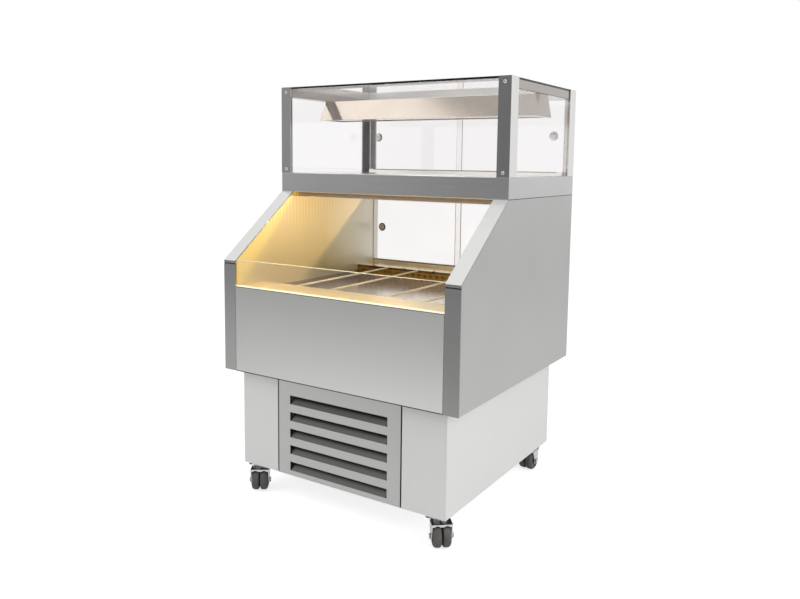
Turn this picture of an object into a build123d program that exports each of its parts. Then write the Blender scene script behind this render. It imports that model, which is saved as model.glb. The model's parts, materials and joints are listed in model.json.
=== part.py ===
from build123d import *
import os
from math import cos, hypot, radians, sin, tan

# Heated display case: an open-front warm well under a glass display box, on a louvred plinth with castors.
# The origin is on the floor at the middle of the footprint. +X is the customer's right, +Y points to the
# operator's side at the rear, +Z is up. All sizes are in millimetres.

# Overall sizes
WIDTH = 800
DEPTH = 750
CASTOR_HEIGHT = 80
PLINTH_HEIGHT = 292
BODY_HEIGHT = 530
DECK_HEIGHT = 60
BOX_HEIGHT = 270
HOOD_DEPTH = 490

# Sheet metal, fixed glass and clearances
SHEET = 2
FOLD = 1
GLASS = 6
GLASS_ARRIS = 0.6
RUNNING_FIT = 0.05
FREE_GAP = 0.3
SEAM = 1

# Sides of small round pieces that are drawn with flats
BAR_SIDES = 12
DISC_SIDES = 24

# Plinth
PLINTH_SIDE_INSET = 47.5
PLINTH_FRONT_INSET = 30
PLINTH_REAR_INSET = 28
PLINTH_REAR_RETURN = 60
PLINTH_FLANGE = 18
PAN_FLANGE = 12
VENT_WIDTH = 8
VENT_HEIGHT = 90
VENT_PITCH = 30
VENT_FIELD = 280

# Louvre panel
LOUVRE_WIDTH = 426
LOUVRE_SEAM = 4
LOUVRE_RETURN = 14
SLOT_WIDTH = 340
SLOT_HEIGHT = 26
SLOT_PITCH = 50
SLOT_TOP_MARGIN = 51
SLOT_FOOT_MARGIN = 14
FLAP_ANGLE = 50
FLAP_END_GAP = 4

# Cable gland
GLAND_BORE = 10
GLAND_THREAD = 20
GLAND_CAP = 16
GLAND_HEX = 28
GLAND_LENGTH = 18
GLAND_HEX_LENGTH = 6
GLAND_X = -200
GLAND_HEIGHT = 60

# Castors
SWIVEL_INSET_X = 84
SWIVEL_INSET_Y = 65
CASTOR_TRAIL = 25
CASTOR_YAW = {"front_left": 34, "front_right": 40, "rear_left": 18, "rear_right": -4}
WHEEL_DIAMETER = 60
WHEEL_WIDTH = 22
WHEEL_GAP = 4
HUB_DIAMETER = 18
AXLE_DIAMETER = 8
AXLE_HEAD = 14
AXLE_HEAD_LENGTH = 4
FORK_SHEET = 2.5
FORK_SIDE_GAP = 1.5
FORK_CROWN_GAP = 3.5
FORK_FRONT = 16
FORK_LIP = 4
AXLE_BOSS = 20
CROWN_DIAMETER = 50
PLATE_SIZE = 62
PLATE_THICKNESS = 3
PLATE_CORNER = 6
RACE_DIAMETER = 44
KINGPIN_DIAMETER = 10
KINGPIN_NUT = 18
KINGPIN_NUT_HEIGHT = 3

# Body walls, trims and front
SIDE_THICKNESS = 45
TRIM = 3
SLANT_START = 332
TRIM_NOSE = 7
TRIM_SHADOW = 4
FRONT_PANEL_HEIGHT = 256
FRONT_RETURN = 22
FRONT_GLASS_HEIGHT = 79
FRONT_GLASS_SETBACK = 4

# Warm well
SILL_DEPTH = 125
REAR_LEDGE_DEPTH = 95
WELL_DEPTH = 45
HOT_PLATE = 4
HOT_PLATE_GAP = 1
ELEMENT_SPACE = 30
ELEMENT_WIDTH = 12
ELEMENT_HEIGHT = 6
ELEMENT_RUNS = 3
ELEMENT_SIDE_MARGIN = 90
SILL_LIP = 20
LEDGE_LIP = 8
ROD_DIAMETER = 6
ROD_OVERHANG = 12
ROD_NOTCHES = (1, 3)
NOTCH_START = 37.5
NOTCH_PITCH = 62.5
NOTCH_SIDE_MARGIN = 40
AIR_HOLE = 9
AIR_HOLE_PITCH = 23.5
AIR_HOLE_ROW_PITCH = 17
AIR_HOLE_ROWS = 2
AIR_HOLE_MARGIN = 20

# Blower behind the perforated riser
BLOWER_DIAMETER = 48
BLOWER_LENGTH = 400
BLOWER_SHAFT = 8
BLOWER_DISC = 2
BLOWER_BLADES = 12
BLADE_CHORD = 8
BLADE_THICKNESS = 1.2
BLADE_SET = 35
MOTOR_SIZE = 46
MOTOR_LENGTH = 60
MOTOR_GAP = 12
MOTOR_BEVEL = 5
MOTOR_FOOT = 30
BEARING_PLATE = 4

# Controls on the rear panel
CONTROL_X = 210
CONTROL_HEIGHT = 110
CONTROL_LOW = 30
CONTROL_WIDTH = 180
CONTROL_DEPTH = 68
CONTROL_BEVEL = 4
KNOB_DIAMETER = 40
KNOB_HEIGHT = 8
KNOB_GRIP_WIDTH = 9
KNOB_GRIP_HEIGHT = 5
KNOB_SPINDLE = 6
KNOB_SPINDLE_LENGTH = 20
KNOB_OFFSET = 40
SWITCH_OFFSET = -45
ROCKER_WIDTH = 18
ROCKER_HEIGHT = 26
ROCKER_DEPTH = 6
ROCKER_EAR = 3
ROCKER_TILT = 8
ROCKER_GAP = 0.6
ROCKER_PIN = 3
COLLAR_WALL = 3
COLLAR_PROUD = 1.5

# Sliding doors and their tracks
DOOR_GLASS = 5
TRACK_SETBACK = 15
TRACK_WALL = 2
TRACK_RIB = 4
GROOVE_GAP = 0.5
FOOT_TRACK = 12
FOOT_GROOVE = 8
HEAD_TRACK = 24
HEAD_GROOVE = 18
HEAD_ENGAGE = 10
DOOR_OVERLAP = 25
DOOR_END_GAP = 1
PULL_DIAMETER = 24
PULL_RIM = 3
PULL_RIM_THICKNESS = 1.5
PULL_CUP_WALL = 1.2
PULL_INSET = 38

# Lamp channels under the deck
DECK_LAMP_HEIGHT = 15
DECK_LAMP_DEPTH = 32
DECK_LAMP_BACK = 25
DECK_LAMP_LIP = 18
DECK_LAMP_SETBACK = 6
DECK_LAMP_REAR_GAP = 3

# Glass box
POST_FACE = 38
POST_LEG = 48
POST_WALL = 3
RAIL_WIDTH = 25
RAIL_HEIGHT = 24

# Lamp trough
TROUGH_FOOT = 120
TROUGH_TOP = 56
TROUGH_HEIGHT = 65
TROUGH_END_GAP = 2
TROUGH_LIP = 12
COVER_GLASS = 3
COVER_EDGE_GAP = 4
LAMP_DIAMETER = 10
LAMP_CAP = 16
LAMP_CAP_LENGTH = 32
LAMP_SPACING = 36
LAMP_HEIGHT = 28

# Levels
Z_PLINTH = CASTOR_HEIGHT
Z_BODY = Z_PLINTH + PLINTH_HEIGHT
Z_FLOOR = Z_BODY + SHEET
Z_SILL = Z_BODY + FRONT_PANEL_HEIGHT
Z_SLANT = Z_BODY + SLANT_START
Z_DECK = Z_BODY + BODY_HEIGHT
Z_BOX = Z_DECK + DECK_HEIGHT
Z_TOP = Z_BOX + BOX_HEIGHT
Z_RAIL_TOP = Z_TOP - GLASS
Z_RAIL = Z_RAIL_TOP - RAIL_HEIGHT
Z_HOT = Z_SILL - WELL_DEPTH
Z_TUB_FLOOR = Z_HOT - HOT_PLATE - ELEMENT_SPACE
Z_TUB_RIM = Z_SILL - SILL_LIP
Z_ROD = Z_SILL - ROD_DIAMETER / 2
Z_RISER_TOP = Z_SILL - LEDGE_LIP

# Side to side
X_SIDE = WIDTH / 2
X_LINER = X_SIDE - SIDE_THICKNESS
X_PLINTH = X_SIDE - PLINTH_SIDE_INSET
X_LOUVRE = LOUVRE_WIDTH / 2
X_OPENING = X_LOUVRE + LOUVRE_SEAM
X_BOX = X_SIDE - POST_WALL
X_RAIL = X_BOX - RAIL_WIDTH
X_TROUGH = X_BOX - GLASS - TROUGH_END_GAP
X_SWIVEL = X_SIDE - SWIVEL_INSET_X

# Front to rear
Y_FRONT = -DEPTH / 2
Y_REAR = DEPTH / 2
Y_HOOD = Y_REAR - HOOD_DEPTH
Y_PLINTH_FRONT = Y_FRONT + PLINTH_FRONT_INSET
Y_PLINTH_REAR = Y_REAR - PLINTH_REAR_INSET
Y_FLOOR_FRONT = Y_PLINTH_FRONT - SHEET
GROOVE = DOOR_GLASS + 2 * GROOVE_GAP
TRACK_DEPTH = 2 * TRACK_WALL + 2 * GROOVE + TRACK_RIB
Y_TRACK_REAR = Y_REAR - TRACK_SETBACK
Y_TRACK_FRONT = Y_TRACK_REAR - TRACK_DEPTH
Y_INNER_GROOVE = Y_TRACK_FRONT + TRACK_WALL
Y_OUTER_GROOVE = Y_INNER_GROOVE + GROOVE + TRACK_RIB
Y_WELL_FRONT = Y_FRONT + SILL_DEPTH
Y_WELL_REAR = Y_TRACK_FRONT - REAR_LEDGE_DEPTH
Y_BOX_FRONT = Y_HOOD + POST_WALL
Y_BOX_REAR = Y_REAR - POST_WALL
Y_BOX_MIDDLE = (Y_HOOD + Y_REAR) / 2
Y_SWIVEL = Y_REAR - SWIVEL_INSET_Y
Y_BLOWER = (Y_WELL_REAR + Y_TRACK_FRONT) / 2
Z_BLOWER = (Z_TUB_FLOOR + Z_TUB_RIM) / 2
Y_CONTROL = Y_TRACK_REAR - SHEET
Z_CONTROL = Z_FLOOR + CONTROL_LOW + CONTROL_HEIGHT / 2
X_KNOB = CONTROL_X + KNOB_OFFSET
X_SWITCH = CONTROL_X + SWITCH_OFFSET


# Shared helpers
def block(x, y, z):
    """Box between the low and high value on each axis."""
    middle = [(low + high) / 2 for low, high in (x, y, z)]
    return Pos(*middle) * Box(x[1] - x[0], y[1] - y[0], z[1] - z[0])


def pane(x, y, z):
    """Glass pane with its edges taken off."""
    glass = block(x, y, z)
    return chamfer(glass.edges(), GLASS_ARRIS)


def outline(points):
    """Closed straight-sided sketch."""
    return make_face(Polyline(*points, close=True))


def folded(points, side=Side.LEFT, thickness=SHEET):
    """Section of a folded sheet: a path of straight legs, thickened to one side."""
    return make_face(
        offset(Polyline(*points), amount=thickness, side=side, kind=Kind.INTERSECTION, closed=True)
    )


def along_x(sketch, x0, x1):
    """Carry a sketch drawn in (y, z) from x0 to x1."""
    return extrude(Plane.YZ.offset(x0) * sketch, amount=x1 - x0)


def along_y(sketch, y0, y1):
    """Carry a sketch drawn in (x, z) from y0 to y1."""
    plane = Plane(origin=(0, y0, 0), x_dir=(1, 0, 0), z_dir=(0, -1, 0))
    return extrude(plane * sketch, amount=y0 - y1)


def along_z(sketch, z0, z1):
    """Carry a sketch drawn in (x, y) from z0 to z1."""
    return extrude(Pos(0, 0, z0) * sketch, amount=z1 - z0)


def turned(points):
    """Solid of revolution about Y from (radius, height) points."""
    sketch = outline(points)
    return revolve(sketch, axis=Axis.Y)


def other_side(part):
    """The same piece on the other side of the case."""
    return mirror(part, about=Plane.YZ)


def save(node, *pieces):
    """Write one node, made of one or more separate solids."""
    solids = [solid for piece in pieces for solid in piece.solids()]
    export_step(solids[0] if len(solids) == 1 else Compound(solids), f"parts/{node}.step")


# Plinth
def pan_room():
    """Space that the base pan takes inside the plinth panels."""
    x = X_PLINTH - SHEET
    y = (Y_PLINTH_FRONT + SHEET, Y_PLINTH_REAR - SHEET)
    return block((-x, x), y, (Z_PLINTH, Z_PLINTH + PAN_FLANGE))


def base_pan():
    """Tray with upturned flanges that carries the castors."""
    x = X_PLINTH - 2 * SHEET
    y = (Y_PLINTH_FRONT + 2 * SHEET, Y_PLINTH_REAR - 2 * SHEET)
    return pan_room() - block((-x, x), y, (Z_PLINTH + SHEET, Z_BODY))


def plinth_side():
    """Right plinth panel: one sheet that wraps the front corner, the side and the rear corner."""
    path = [
        (X_OPENING, Y_PLINTH_FRONT + PLINTH_FLANGE),
        (X_OPENING, Y_PLINTH_FRONT),
        (X_PLINTH, Y_PLINTH_FRONT),
        (X_PLINTH, Y_PLINTH_REAR),
        (X_PLINTH - PLINTH_REAR_RETURN, Y_PLINTH_REAR),
    ]
    return along_z(folded(path), Z_PLINTH, Z_BODY) - pan_room()


def plinth_rear():
    """Rear plinth panel with a field of upright vents and the hole for the cable gland."""
    x = X_PLINTH - PLINTH_REAR_RETURN - SEAM
    z = (Z_PLINTH + Z_BODY) / 2
    sheet = Pos(0, z) * Rectangle(2 * x, PLINTH_HEIGHT)
    count = int(VENT_FIELD / VENT_PITCH)
    for i in range(count):
        vent_x = (i - (count - 1) / 2) * VENT_PITCH - GLAND_X / 4
        sheet -= Pos(vent_x, z) * Rectangle(VENT_WIDTH, VENT_HEIGHT)
    sheet -= Pos(GLAND_X, Z_PLINTH + GLAND_HEIGHT) * Circle(GLAND_THREAD / 2 + RUNNING_FIT)
    return along_y(sheet, Y_PLINTH_REAR - SHEET, Y_PLINTH_REAR)


def cable_gland():
    """Screwed gland: sleeve through the panel, hexagon outside it, gripping cap."""
    inner = -SHEET - 2 * GLAND_HEX_LENGTH
    body = along_y(Circle(GLAND_THREAD / 2), inner, 0)
    body += along_y(RegularPolygon(GLAND_HEX / 2, 6), 0, GLAND_HEX_LENGTH)
    body += along_y(RegularPolygon(GLAND_CAP / 2, BAR_SIDES), GLAND_HEX_LENGTH, GLAND_LENGTH)
    body -= along_y(Circle(GLAND_BORE / 2), inner, GLAND_LENGTH)
    return Pos(GLAND_X, Y_PLINTH_REAR, Z_PLINTH + GLAND_HEIGHT) * body


def louvre_panel():
    """Front vent panel: wide slots whose cut sheet is bent in and up from the lower edge as a flap."""
    back = Y_PLINTH_FRONT + LOUVRE_RETURN
    path = [
        (-X_LOUVRE, back),
        (-X_LOUVRE, Y_PLINTH_FRONT),
        (X_LOUVRE, Y_PLINTH_FRONT),
        (X_LOUVRE, back),
    ]
    panel = along_z(folded(path), Z_PLINTH, Z_BODY - SEAM) - pan_room()
    room = PLINTH_HEIGHT - SLOT_TOP_MARGIN - SLOT_FOOT_MARGIN - SLOT_HEIGHT
    half = SLOT_WIDTH / 2
    reach = (SLOT_HEIGHT * cos(radians(FLAP_ANGLE)), SLOT_HEIGHT * sin(radians(FLAP_ANGLE)))
    under = (SHEET * sin(radians(FLAP_ANGLE)), -SHEET * cos(radians(FLAP_ANGLE)))
    for i in range(int(room / SLOT_PITCH) + 1):
        top = Z_BODY - SLOT_TOP_MARGIN - i * SLOT_PITCH
        foot = top - SLOT_HEIGHT
        panel -= block((-half, half), (Y_PLINTH_FRONT - 1, Y_PLINTH_FRONT + SHEET + 1), (foot, top))
        flap = outline(
            [
                (Y_PLINTH_FRONT, foot),
                (Y_PLINTH_FRONT + reach[0], foot + reach[1]),
                (Y_PLINTH_FRONT + reach[0] + under[0], foot + reach[1] + under[1]),
                (Y_PLINTH_FRONT + under[0], foot + under[1]),
            ]
        )
        panel += along_x(flap, FLAP_END_GAP - half, half - FLAP_END_GAP)
    return panel


# Castors
Z_AXLE = WHEEL_DIAMETER / 2
Z_CROWN = WHEEL_DIAMETER + FORK_CROWN_GAP
Z_CROWN_TOP = Z_CROWN + FORK_SHEET
Z_RACE = Z_CROWN_TOP + FREE_GAP
WHEEL_MIDDLE = (WHEEL_WIDTH + WHEEL_GAP) / 2
LEG_INNER = WHEEL_WIDTH + WHEEL_GAP / 2 + FORK_SIDE_GAP
LEG_OUTER = LEG_INNER + FORK_SHEET


def swivel_point(corner):
    """Swivel axis of one corner on the floor."""
    x = X_SWIVEL if corner.endswith("right") else -X_SWIVEL
    y = Y_SWIVEL if corner.startswith("rear") else -Y_SWIVEL
    return x, y


def at_corner(corner, part):
    """Turn a castor piece to its rest heading and put it under its corner."""
    x, y = swivel_point(corner)
    return Pos(x, y, 0) * Rot(0, 0, CASTOR_YAW[corner] - 90) * part


def castor_plate(corner):
    """Top plate with cut corners, its ball race, and the kingpin with its nut."""
    plate = Rectangle(PLATE_SIZE, PLATE_SIZE)
    plate = chamfer(plate.vertices(), PLATE_CORNER)
    under = Z_PLINTH - PLATE_THICKNESS
    part = along_z(plate, under, Z_PLINTH)
    nut_top = Z_CROWN - FREE_GAP
    part += along_z(RegularPolygon(RACE_DIAMETER / 2, 16), Z_RACE, under)
    part += along_z(Circle(KINGPIN_DIAMETER / 2), nut_top, Z_RACE)
    part += along_z(RegularPolygon(KINGPIN_NUT / 2, 6), nut_top - KINGPIN_NUT_HEIGHT, nut_top)
    x, y = swivel_point(corner)
    return Pos(x, y, 0) * part


def castor_fork():
    """Pressed fork with its axle bolt: crown, two tapering legs, front lip that arches over both wheels."""
    front = CASTOR_TRAIL + FORK_FRONT
    back = KINGPIN_NUT / 4
    boss = Pos(CASTOR_TRAIL, Z_AXLE) * Rot(0, 0, 22.5) * RegularPolygon(AXLE_BOSS / 2, 8)
    leg = make_hull(boss.edges() + Line((back, Z_CROWN_TOP), (front, Z_CROWN_TOP)).edges())
    fork = along_y(leg, LEG_INNER, LEG_OUTER) + along_y(leg, -LEG_OUTER, -LEG_INNER)
    crown = RegularPolygon(CROWN_DIAMETER / 2, 16)
    crown += Pos((back + front) / 2, 0) * Rectangle(front - back, 2 * LEG_OUTER)
    crown -= Circle(KINGPIN_DIAMETER / 2 + RUNNING_FIT)
    fork += along_z(crown, Z_CROWN, Z_CROWN_TOP)
    lip = Pos(0, Z_CROWN - FORK_LIP / 2) * Rectangle(2 * LEG_OUTER, FORK_LIP)
    arch = WHEEL_WIDTH / 2
    for middle in (-WHEEL_MIDDLE, WHEEL_MIDDLE):
        lip -= Pos(middle, Z_CROWN - arch - FORK_LIP / 6) * RegularPolygon(arch, 12)
    fork += along_x(lip, front - FORK_SHEET, front)
    bolt = along_y(Circle(AXLE_DIAMETER / 2), -LEG_OUTER, LEG_OUTER)
    hexagon = RegularPolygon(AXLE_HEAD / 2, 6)
    for end in (LEG_OUTER, -LEG_OUTER - AXLE_HEAD_LENGTH):
        bolt += along_y(hexagon, end, end + AXLE_HEAD_LENGTH)
    return fork + Pos(CASTOR_TRAIL, 0, Z_AXLE) * bolt


def castor_wheels():
    """Twin wheel: two treads side by side on one hub."""
    radius = WHEEL_DIAMETER / 2
    near = WHEEL_GAP / 2
    far = near + WHEEL_WIDTH
    half = [(HUB_DIAMETER / 2, near), (radius, near), (radius, far), (AXLE_DIAMETER / 2 + RUNNING_FIT, far)]
    whole = half + [(r, -v) for r, v in reversed(half)]
    return Pos(CASTOR_TRAIL, 0, Z_AXLE) * turned(whole)


# Body shell
def wall_outline(cover):
    """Side wall outline in (y, z), set back from the front and slanted edges by a cover's thickness."""
    slope = (Z_DECK - Z_SLANT) / (Y_HOOD - Y_FRONT)
    drop = cover * hypot(1, slope)
    return [
        (Y_FRONT + cover, Z_BODY),
        (Y_REAR, Z_BODY),
        (Y_REAR, Z_DECK),
        (Y_HOOD + drop / slope, Z_DECK),
        (Y_FRONT + cover, Z_SLANT + slope * cover - drop),
    ]


def side_panel():
    """Right outer wall: a tray of sheet with its edges turned inwards to meet the liner."""
    section = outline(wall_outline(TRIM))
    wall = along_x(section, X_LINER + SHEET, X_SIDE)
    wall = chamfer(wall.edges().group_by(Axis.X)[-1], FOLD)
    pocket = offset(section, amount=-SHEET, kind=Kind.INTERSECTION)
    return wall - along_x(pocket, X_LINER, X_SIDE - SHEET)


def liner():
    """Right inner wall of the well."""
    return along_x(outline(wall_outline(TRIM)), X_LINER, X_LINER + SHEET)


def edge_trims():
    """Right edge covers: the upright front strip, and the slanted strip with its turned-down nose."""
    edge = wall_outline(TRIM)
    nose = Z_SLANT - TRIM_NOSE
    slant = outline(
        [(Y_FRONT, nose), (Y_FRONT, Z_SLANT), (Y_HOOD, Z_DECK), edge[3], edge[4], (edge[4][0], nose)]
    )
    front = block((X_LINER, X_SIDE), (Y_FRONT, Y_FRONT + TRIM), (Z_BODY, nose - TRIM_SHADOW))
    return along_x(slant, X_LINER, X_SIDE), front


def body_floor():
    """Bottom sheet of the body, which stands on the plinth."""
    return block((-X_LINER, X_LINER), (Y_FLOOR_FRONT, Y_REAR), (Z_BODY, Z_FLOOR))


def front_panel():
    """Front sheet with a return along its top, for the glass, and along its foot."""
    path = [
        (Y_FRONT + FRONT_RETURN, Z_SILL),
        (Y_FRONT, Z_SILL),
        (Y_FRONT, Z_BODY),
        (Y_FLOOR_FRONT, Z_BODY),
    ]
    return along_x(folded(path), SEAM - X_LINER, X_LINER - SEAM)


def front_glass():
    """Low glass that stands on the front panel."""
    y = Y_FRONT + FRONT_GLASS_SETBACK
    return pane((-X_LINER, X_LINER), (y, y + GLASS), (Z_SILL, Z_SILL + FRONT_GLASS_HEIGHT))


# Warm well
def notch_places():
    """Distances of the rod notches from the middle of the well."""
    count = int((X_LINER - NOTCH_SIDE_MARGIN - NOTCH_START) / NOTCH_PITCH) + 1
    return [NOTCH_START + i * NOTCH_PITCH for i in range(count)]


def rod_notches(y0, y1):
    """Open slots for the rod ends, between y0 and y1."""
    half = ROD_DIAMETER / 2 + FREE_GAP
    z = (Z_SILL - ROD_DIAMETER - FREE_GAP, Z_SILL + 1)
    places = notch_places()
    return [block((x - half, x + half), (y0, y1), z) for p in places for x in (-p, p)]


def front_sill():
    """Flat ledge behind the front glass, with a notched lip along the well."""
    path = [(Y_FRONT + FRONT_RETURN, Z_SILL), (Y_WELL_FRONT, Z_SILL), (Y_WELL_FRONT, Z_SILL - SILL_LIP)]
    sill = along_x(folded(path, Side.RIGHT), -X_LINER, X_LINER)
    return sill - rod_notches(Y_WELL_FRONT - SHEET - ROD_OVERHANG - SEAM, Y_WELL_FRONT + 1)


def rear_ledge():
    """Flat ledge between the well and the doors, with a notched lip along the well."""
    path = [(Y_WELL_REAR, Z_SILL - LEDGE_LIP), (Y_WELL_REAR, Z_SILL), (Y_TRACK_FRONT, Z_SILL)]
    ledge = along_x(folded(path, Side.RIGHT), -X_LINER, X_LINER)
    return ledge - rod_notches(Y_WELL_REAR - 1, Y_WELL_REAR + SHEET + ROD_OVERHANG + SEAM)


def divider_rod(x):
    """Loose round bar that lies in a front and a rear notch and parts the well."""
    y0 = Y_WELL_FRONT - SHEET - ROD_OVERHANG
    y1 = Y_WELL_REAR + SHEET + ROD_OVERHANG
    return along_y(Pos(x, Z_ROD) * RegularPolygon(ROD_DIAMETER / 2, BAR_SIDES), y0, y1)


def well_tub():
    """Open tub under the well and the rear ledge. The lip of the front sill stands on its front wall."""
    z0 = Z_TUB_FLOOR - SHEET
    tub = block((-X_LINER, X_LINER), (Y_WELL_FRONT - SHEET, Y_TRACK_FRONT), (z0, Z_TUB_RIM))
    x = X_LINER - SHEET
    return tub - block((-x, x), (Y_WELL_FRONT, Y_TRACK_FRONT - SHEET), (Z_TUB_FLOOR, Z_SILL))


def hot_plate():
    """Smooth heated floor of the well: a plate with its edges turned down to the tub."""
    x = X_LINER - SHEET - HOT_PLATE_GAP
    y = (Y_WELL_FRONT + HOT_PLATE_GAP, Y_WELL_REAR - HOT_PLATE_GAP)
    plate = block((-x, x), y, (Z_TUB_FLOOR, Z_HOT))
    inside = block(
        (SHEET - x, x - SHEET), (y[0] + SHEET, y[1] - SHEET), (Z_TUB_FLOOR, Z_HOT - HOT_PLATE)
    )
    return plate - inside


def element_edge(side):
    """One edge of the heater in (x, y): straight runs to and fro, joined by half-octagon bends."""
    half = X_LINER - ELEMENT_SIDE_MARGIN
    pitch = (Y_WELL_REAR - Y_WELL_FRONT) / (ELEMENT_RUNS + 0.5)
    first = (Y_WELL_REAR + Y_WELL_FRONT) / 2 - (ELEMENT_RUNS - 1) / 2 * pitch
    shift = side * ELEMENT_WIDTH / 2
    points = [(-half, first - shift)]
    for i in range(ELEMENT_RUNS - 1):
        way = 1 if i % 2 == 0 else -1
        middle = first + (i + 0.5) * pitch
        radius = pitch / 2 + way * shift
        reach = radius * tan(radians(22.5))
        points.append((way * (half + reach), middle - radius))
        points.append((way * (half + radius), middle - reach))
        points.append((way * (half + radius), middle + reach))
        points.append((way * (half + reach), middle + radius))
    last = 1 if ELEMENT_RUNS % 2 else -1
    points.append((last * half, first + (ELEMENT_RUNS - 1) * pitch - last * shift))
    return points


def heating_element():
    """Flat-pressed tubular heater, bent to and fro against the underside of the hot plate."""
    top = Z_HOT - HOT_PLATE
    strip = outline(element_edge(1) + element_edge(-1)[::-1])
    return along_z(strip, top - ELEMENT_HEIGHT, top)


def perforated_riser():
    """Rear wall of the well under the ledge's lip, with staggered rows of small six-sided air holes."""
    x = X_LINER - SHEET
    z = (Z_TUB_FLOOR + Z_RISER_TOP) / 2
    sheet = Pos(0, z) * Rectangle(2 * x, Z_RISER_TOP - Z_TUB_FLOOR)
    middle = (Z_HOT + Z_RISER_TOP) / 2
    count = int(2 * (x - AIR_HOLE_MARGIN) / AIR_HOLE_PITCH)
    holes = []
    for row in range(AIR_HOLE_ROWS):
        row_z = middle + (row - (AIR_HOLE_ROWS - 1) / 2) * AIR_HOLE_ROW_PITCH
        for i in range(count + row % 2):
            hole_x = (i - (count + row % 2 - 1) / 2) * AIR_HOLE_PITCH
            holes.append(Pos(hole_x, row_z) * RegularPolygon(AIR_HOLE / 2, 6))
    return along_y(sheet - holes, Y_WELL_REAR, Y_WELL_REAR + SHEET)


# Blower
def along_blower(part):
    """Lay a piece made about Z along the blower's axis."""
    return Pos(0, Y_BLOWER, Z_BLOWER) * Rot(0, 90, 0) * part


def blower_wheel():
    """Cross-flow wheel: two end discs with stub shafts, joined by a ring of set blades."""
    half = BLOWER_LENGTH / 2
    radius = BLOWER_DIAMETER / 2
    end = along_z(RegularPolygon(radius, DISC_SIDES), half - BLOWER_DISC, half)
    end += along_z(Circle(BLOWER_SHAFT / 2), half, half + MOTOR_GAP + BEARING_PLATE)
    wheel = end + mirror(end, about=Plane.XY)
    blade = Pos(radius - BLADE_CHORD / 2 - BLADE_THICKNESS, 0) * Rot(0, 0, BLADE_SET)
    blade = blade * Rectangle(BLADE_CHORD, BLADE_THICKNESS)
    for spot in PolarLocations(0, BLOWER_BLADES):
        wheel += along_z(spot * blade, BLOWER_DISC - half, half - BLOWER_DISC)
    return along_blower(wheel)


def blower_motor():
    """Square motor at one end of the wheel and bearing plate at the other, both standing on the tub."""
    half = BLOWER_LENGTH / 2 + MOTOR_GAP
    bore = Circle(BLOWER_SHAFT / 2 + RUNNING_FIT)
    frame = Rectangle(MOTOR_SIZE, MOTOR_SIZE)
    frame = chamfer(frame.vertices(), MOTOR_BEVEL)
    motor = along_z(frame, half, half + MOTOR_LENGTH) - along_z(bore, half, half + 2 * BEARING_PLATE)
    foot = (Y_BLOWER - MOTOR_FOOT / 2, Y_BLOWER + MOTOR_FOOT / 2)
    stand = block((half, half + MOTOR_LENGTH), foot, (Z_TUB_FLOOR, Z_BLOWER - MOTOR_SIZE / 2))
    plate = block((-half - BEARING_PLATE, -half), foot, (Z_TUB_FLOOR, Z_BLOWER + BLOWER_SHAFT))
    plate -= along_blower(along_z(bore, -half - 2 * BEARING_PLATE, -half + BEARING_PLATE))
    return along_blower(motor) + stand, plate


# Rear panel and controls
def rear_panel():
    """Rear sheet of the body with a return that carries the door track, and holes for the controls."""
    path = [(Y_TRACK_FRONT, Z_SILL), (Y_TRACK_REAR, Z_SILL), (Y_TRACK_REAR, Z_FLOOR)]
    panel = along_x(folded(path, Side.RIGHT), -X_LINER, X_LINER)
    holes = Pos(X_KNOB, Z_CONTROL) * Circle(KNOB_SPINDLE / 2 + FREE_GAP)
    holes += Pos(X_SWITCH, Z_CONTROL) * collar_rectangle(COLLAR_WALL)
    return panel - along_y(holes, Y_CONTROL - 1, Y_TRACK_REAR + 1)


def collar_rectangle(wall):
    """Opening for the rocker, grown by a wall."""
    grow = 2 * (ROCKER_GAP + wall)
    return Rectangle(ROCKER_WIDTH + grow, ROCKER_HEIGHT + grow)


def control_housing():
    """Moulded housing behind the rear panel: thermostat socket and a collar that holds the rocker."""
    half = CONTROL_WIDTH / 2
    z = (Z_CONTROL - CONTROL_HEIGHT / 2, Z_CONTROL + CONTROL_HEIGHT / 2)
    part = block((CONTROL_X - half, CONTROL_X + half), (Y_CONTROL - CONTROL_DEPTH, Y_CONTROL), z)
    part = chamfer(part.edges().group_by(Axis.Y)[0], CONTROL_BEVEL)
    switch = Pos(X_SWITCH, Z_CONTROL)
    face = Y_TRACK_REAR + COLLAR_PROUD
    part += along_y(switch * collar_rectangle(COLLAR_WALL), Y_CONTROL, face)
    part -= along_y(switch * collar_rectangle(0), face - 2 * ROCKER_DEPTH, face)
    part -= rocker_pin(ROCKER_PIN / 2 + RUNNING_FIT, ROCKER_WIDTH + 2 * ROCKER_GAP + 2 * COLLAR_WALL)
    socket = Pos(X_KNOB, Z_CONTROL) * Circle(KNOB_SPINDLE / 2 + RUNNING_FIT)
    part -= along_y(socket, Y_CONTROL - KNOB_SPINDLE_LENGTH - SEAM, Y_CONTROL)
    return part


def thermostat_knob():
    """Round knob with a grip bar, on a spindle that runs in the housing."""
    base = FREE_GAP
    knob = along_y(Circle(KNOB_DIAMETER / 2), base, KNOB_HEIGHT)
    grip = Rectangle(KNOB_GRIP_WIDTH, KNOB_DIAMETER - 2 * KNOB_GRIP_HEIGHT)
    knob += along_y(grip, KNOB_HEIGHT, KNOB_HEIGHT + KNOB_GRIP_HEIGHT)
    knob += along_y(Circle(KNOB_SPINDLE / 2), -SHEET - KNOB_SPINDLE_LENGTH, base)
    return Pos(X_KNOB, Y_TRACK_REAR, Z_CONTROL) * knob


def rocker_pin(radius, length):
    """Pivot pin of the rocker."""
    spot = Plane(origin=(X_SWITCH - length / 2, Y_TRACK_REAR + COLLAR_PROUD, Z_CONTROL), z_dir=(1, 0, 0))
    return extrude(spot * Circle(radius), amount=length)


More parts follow.
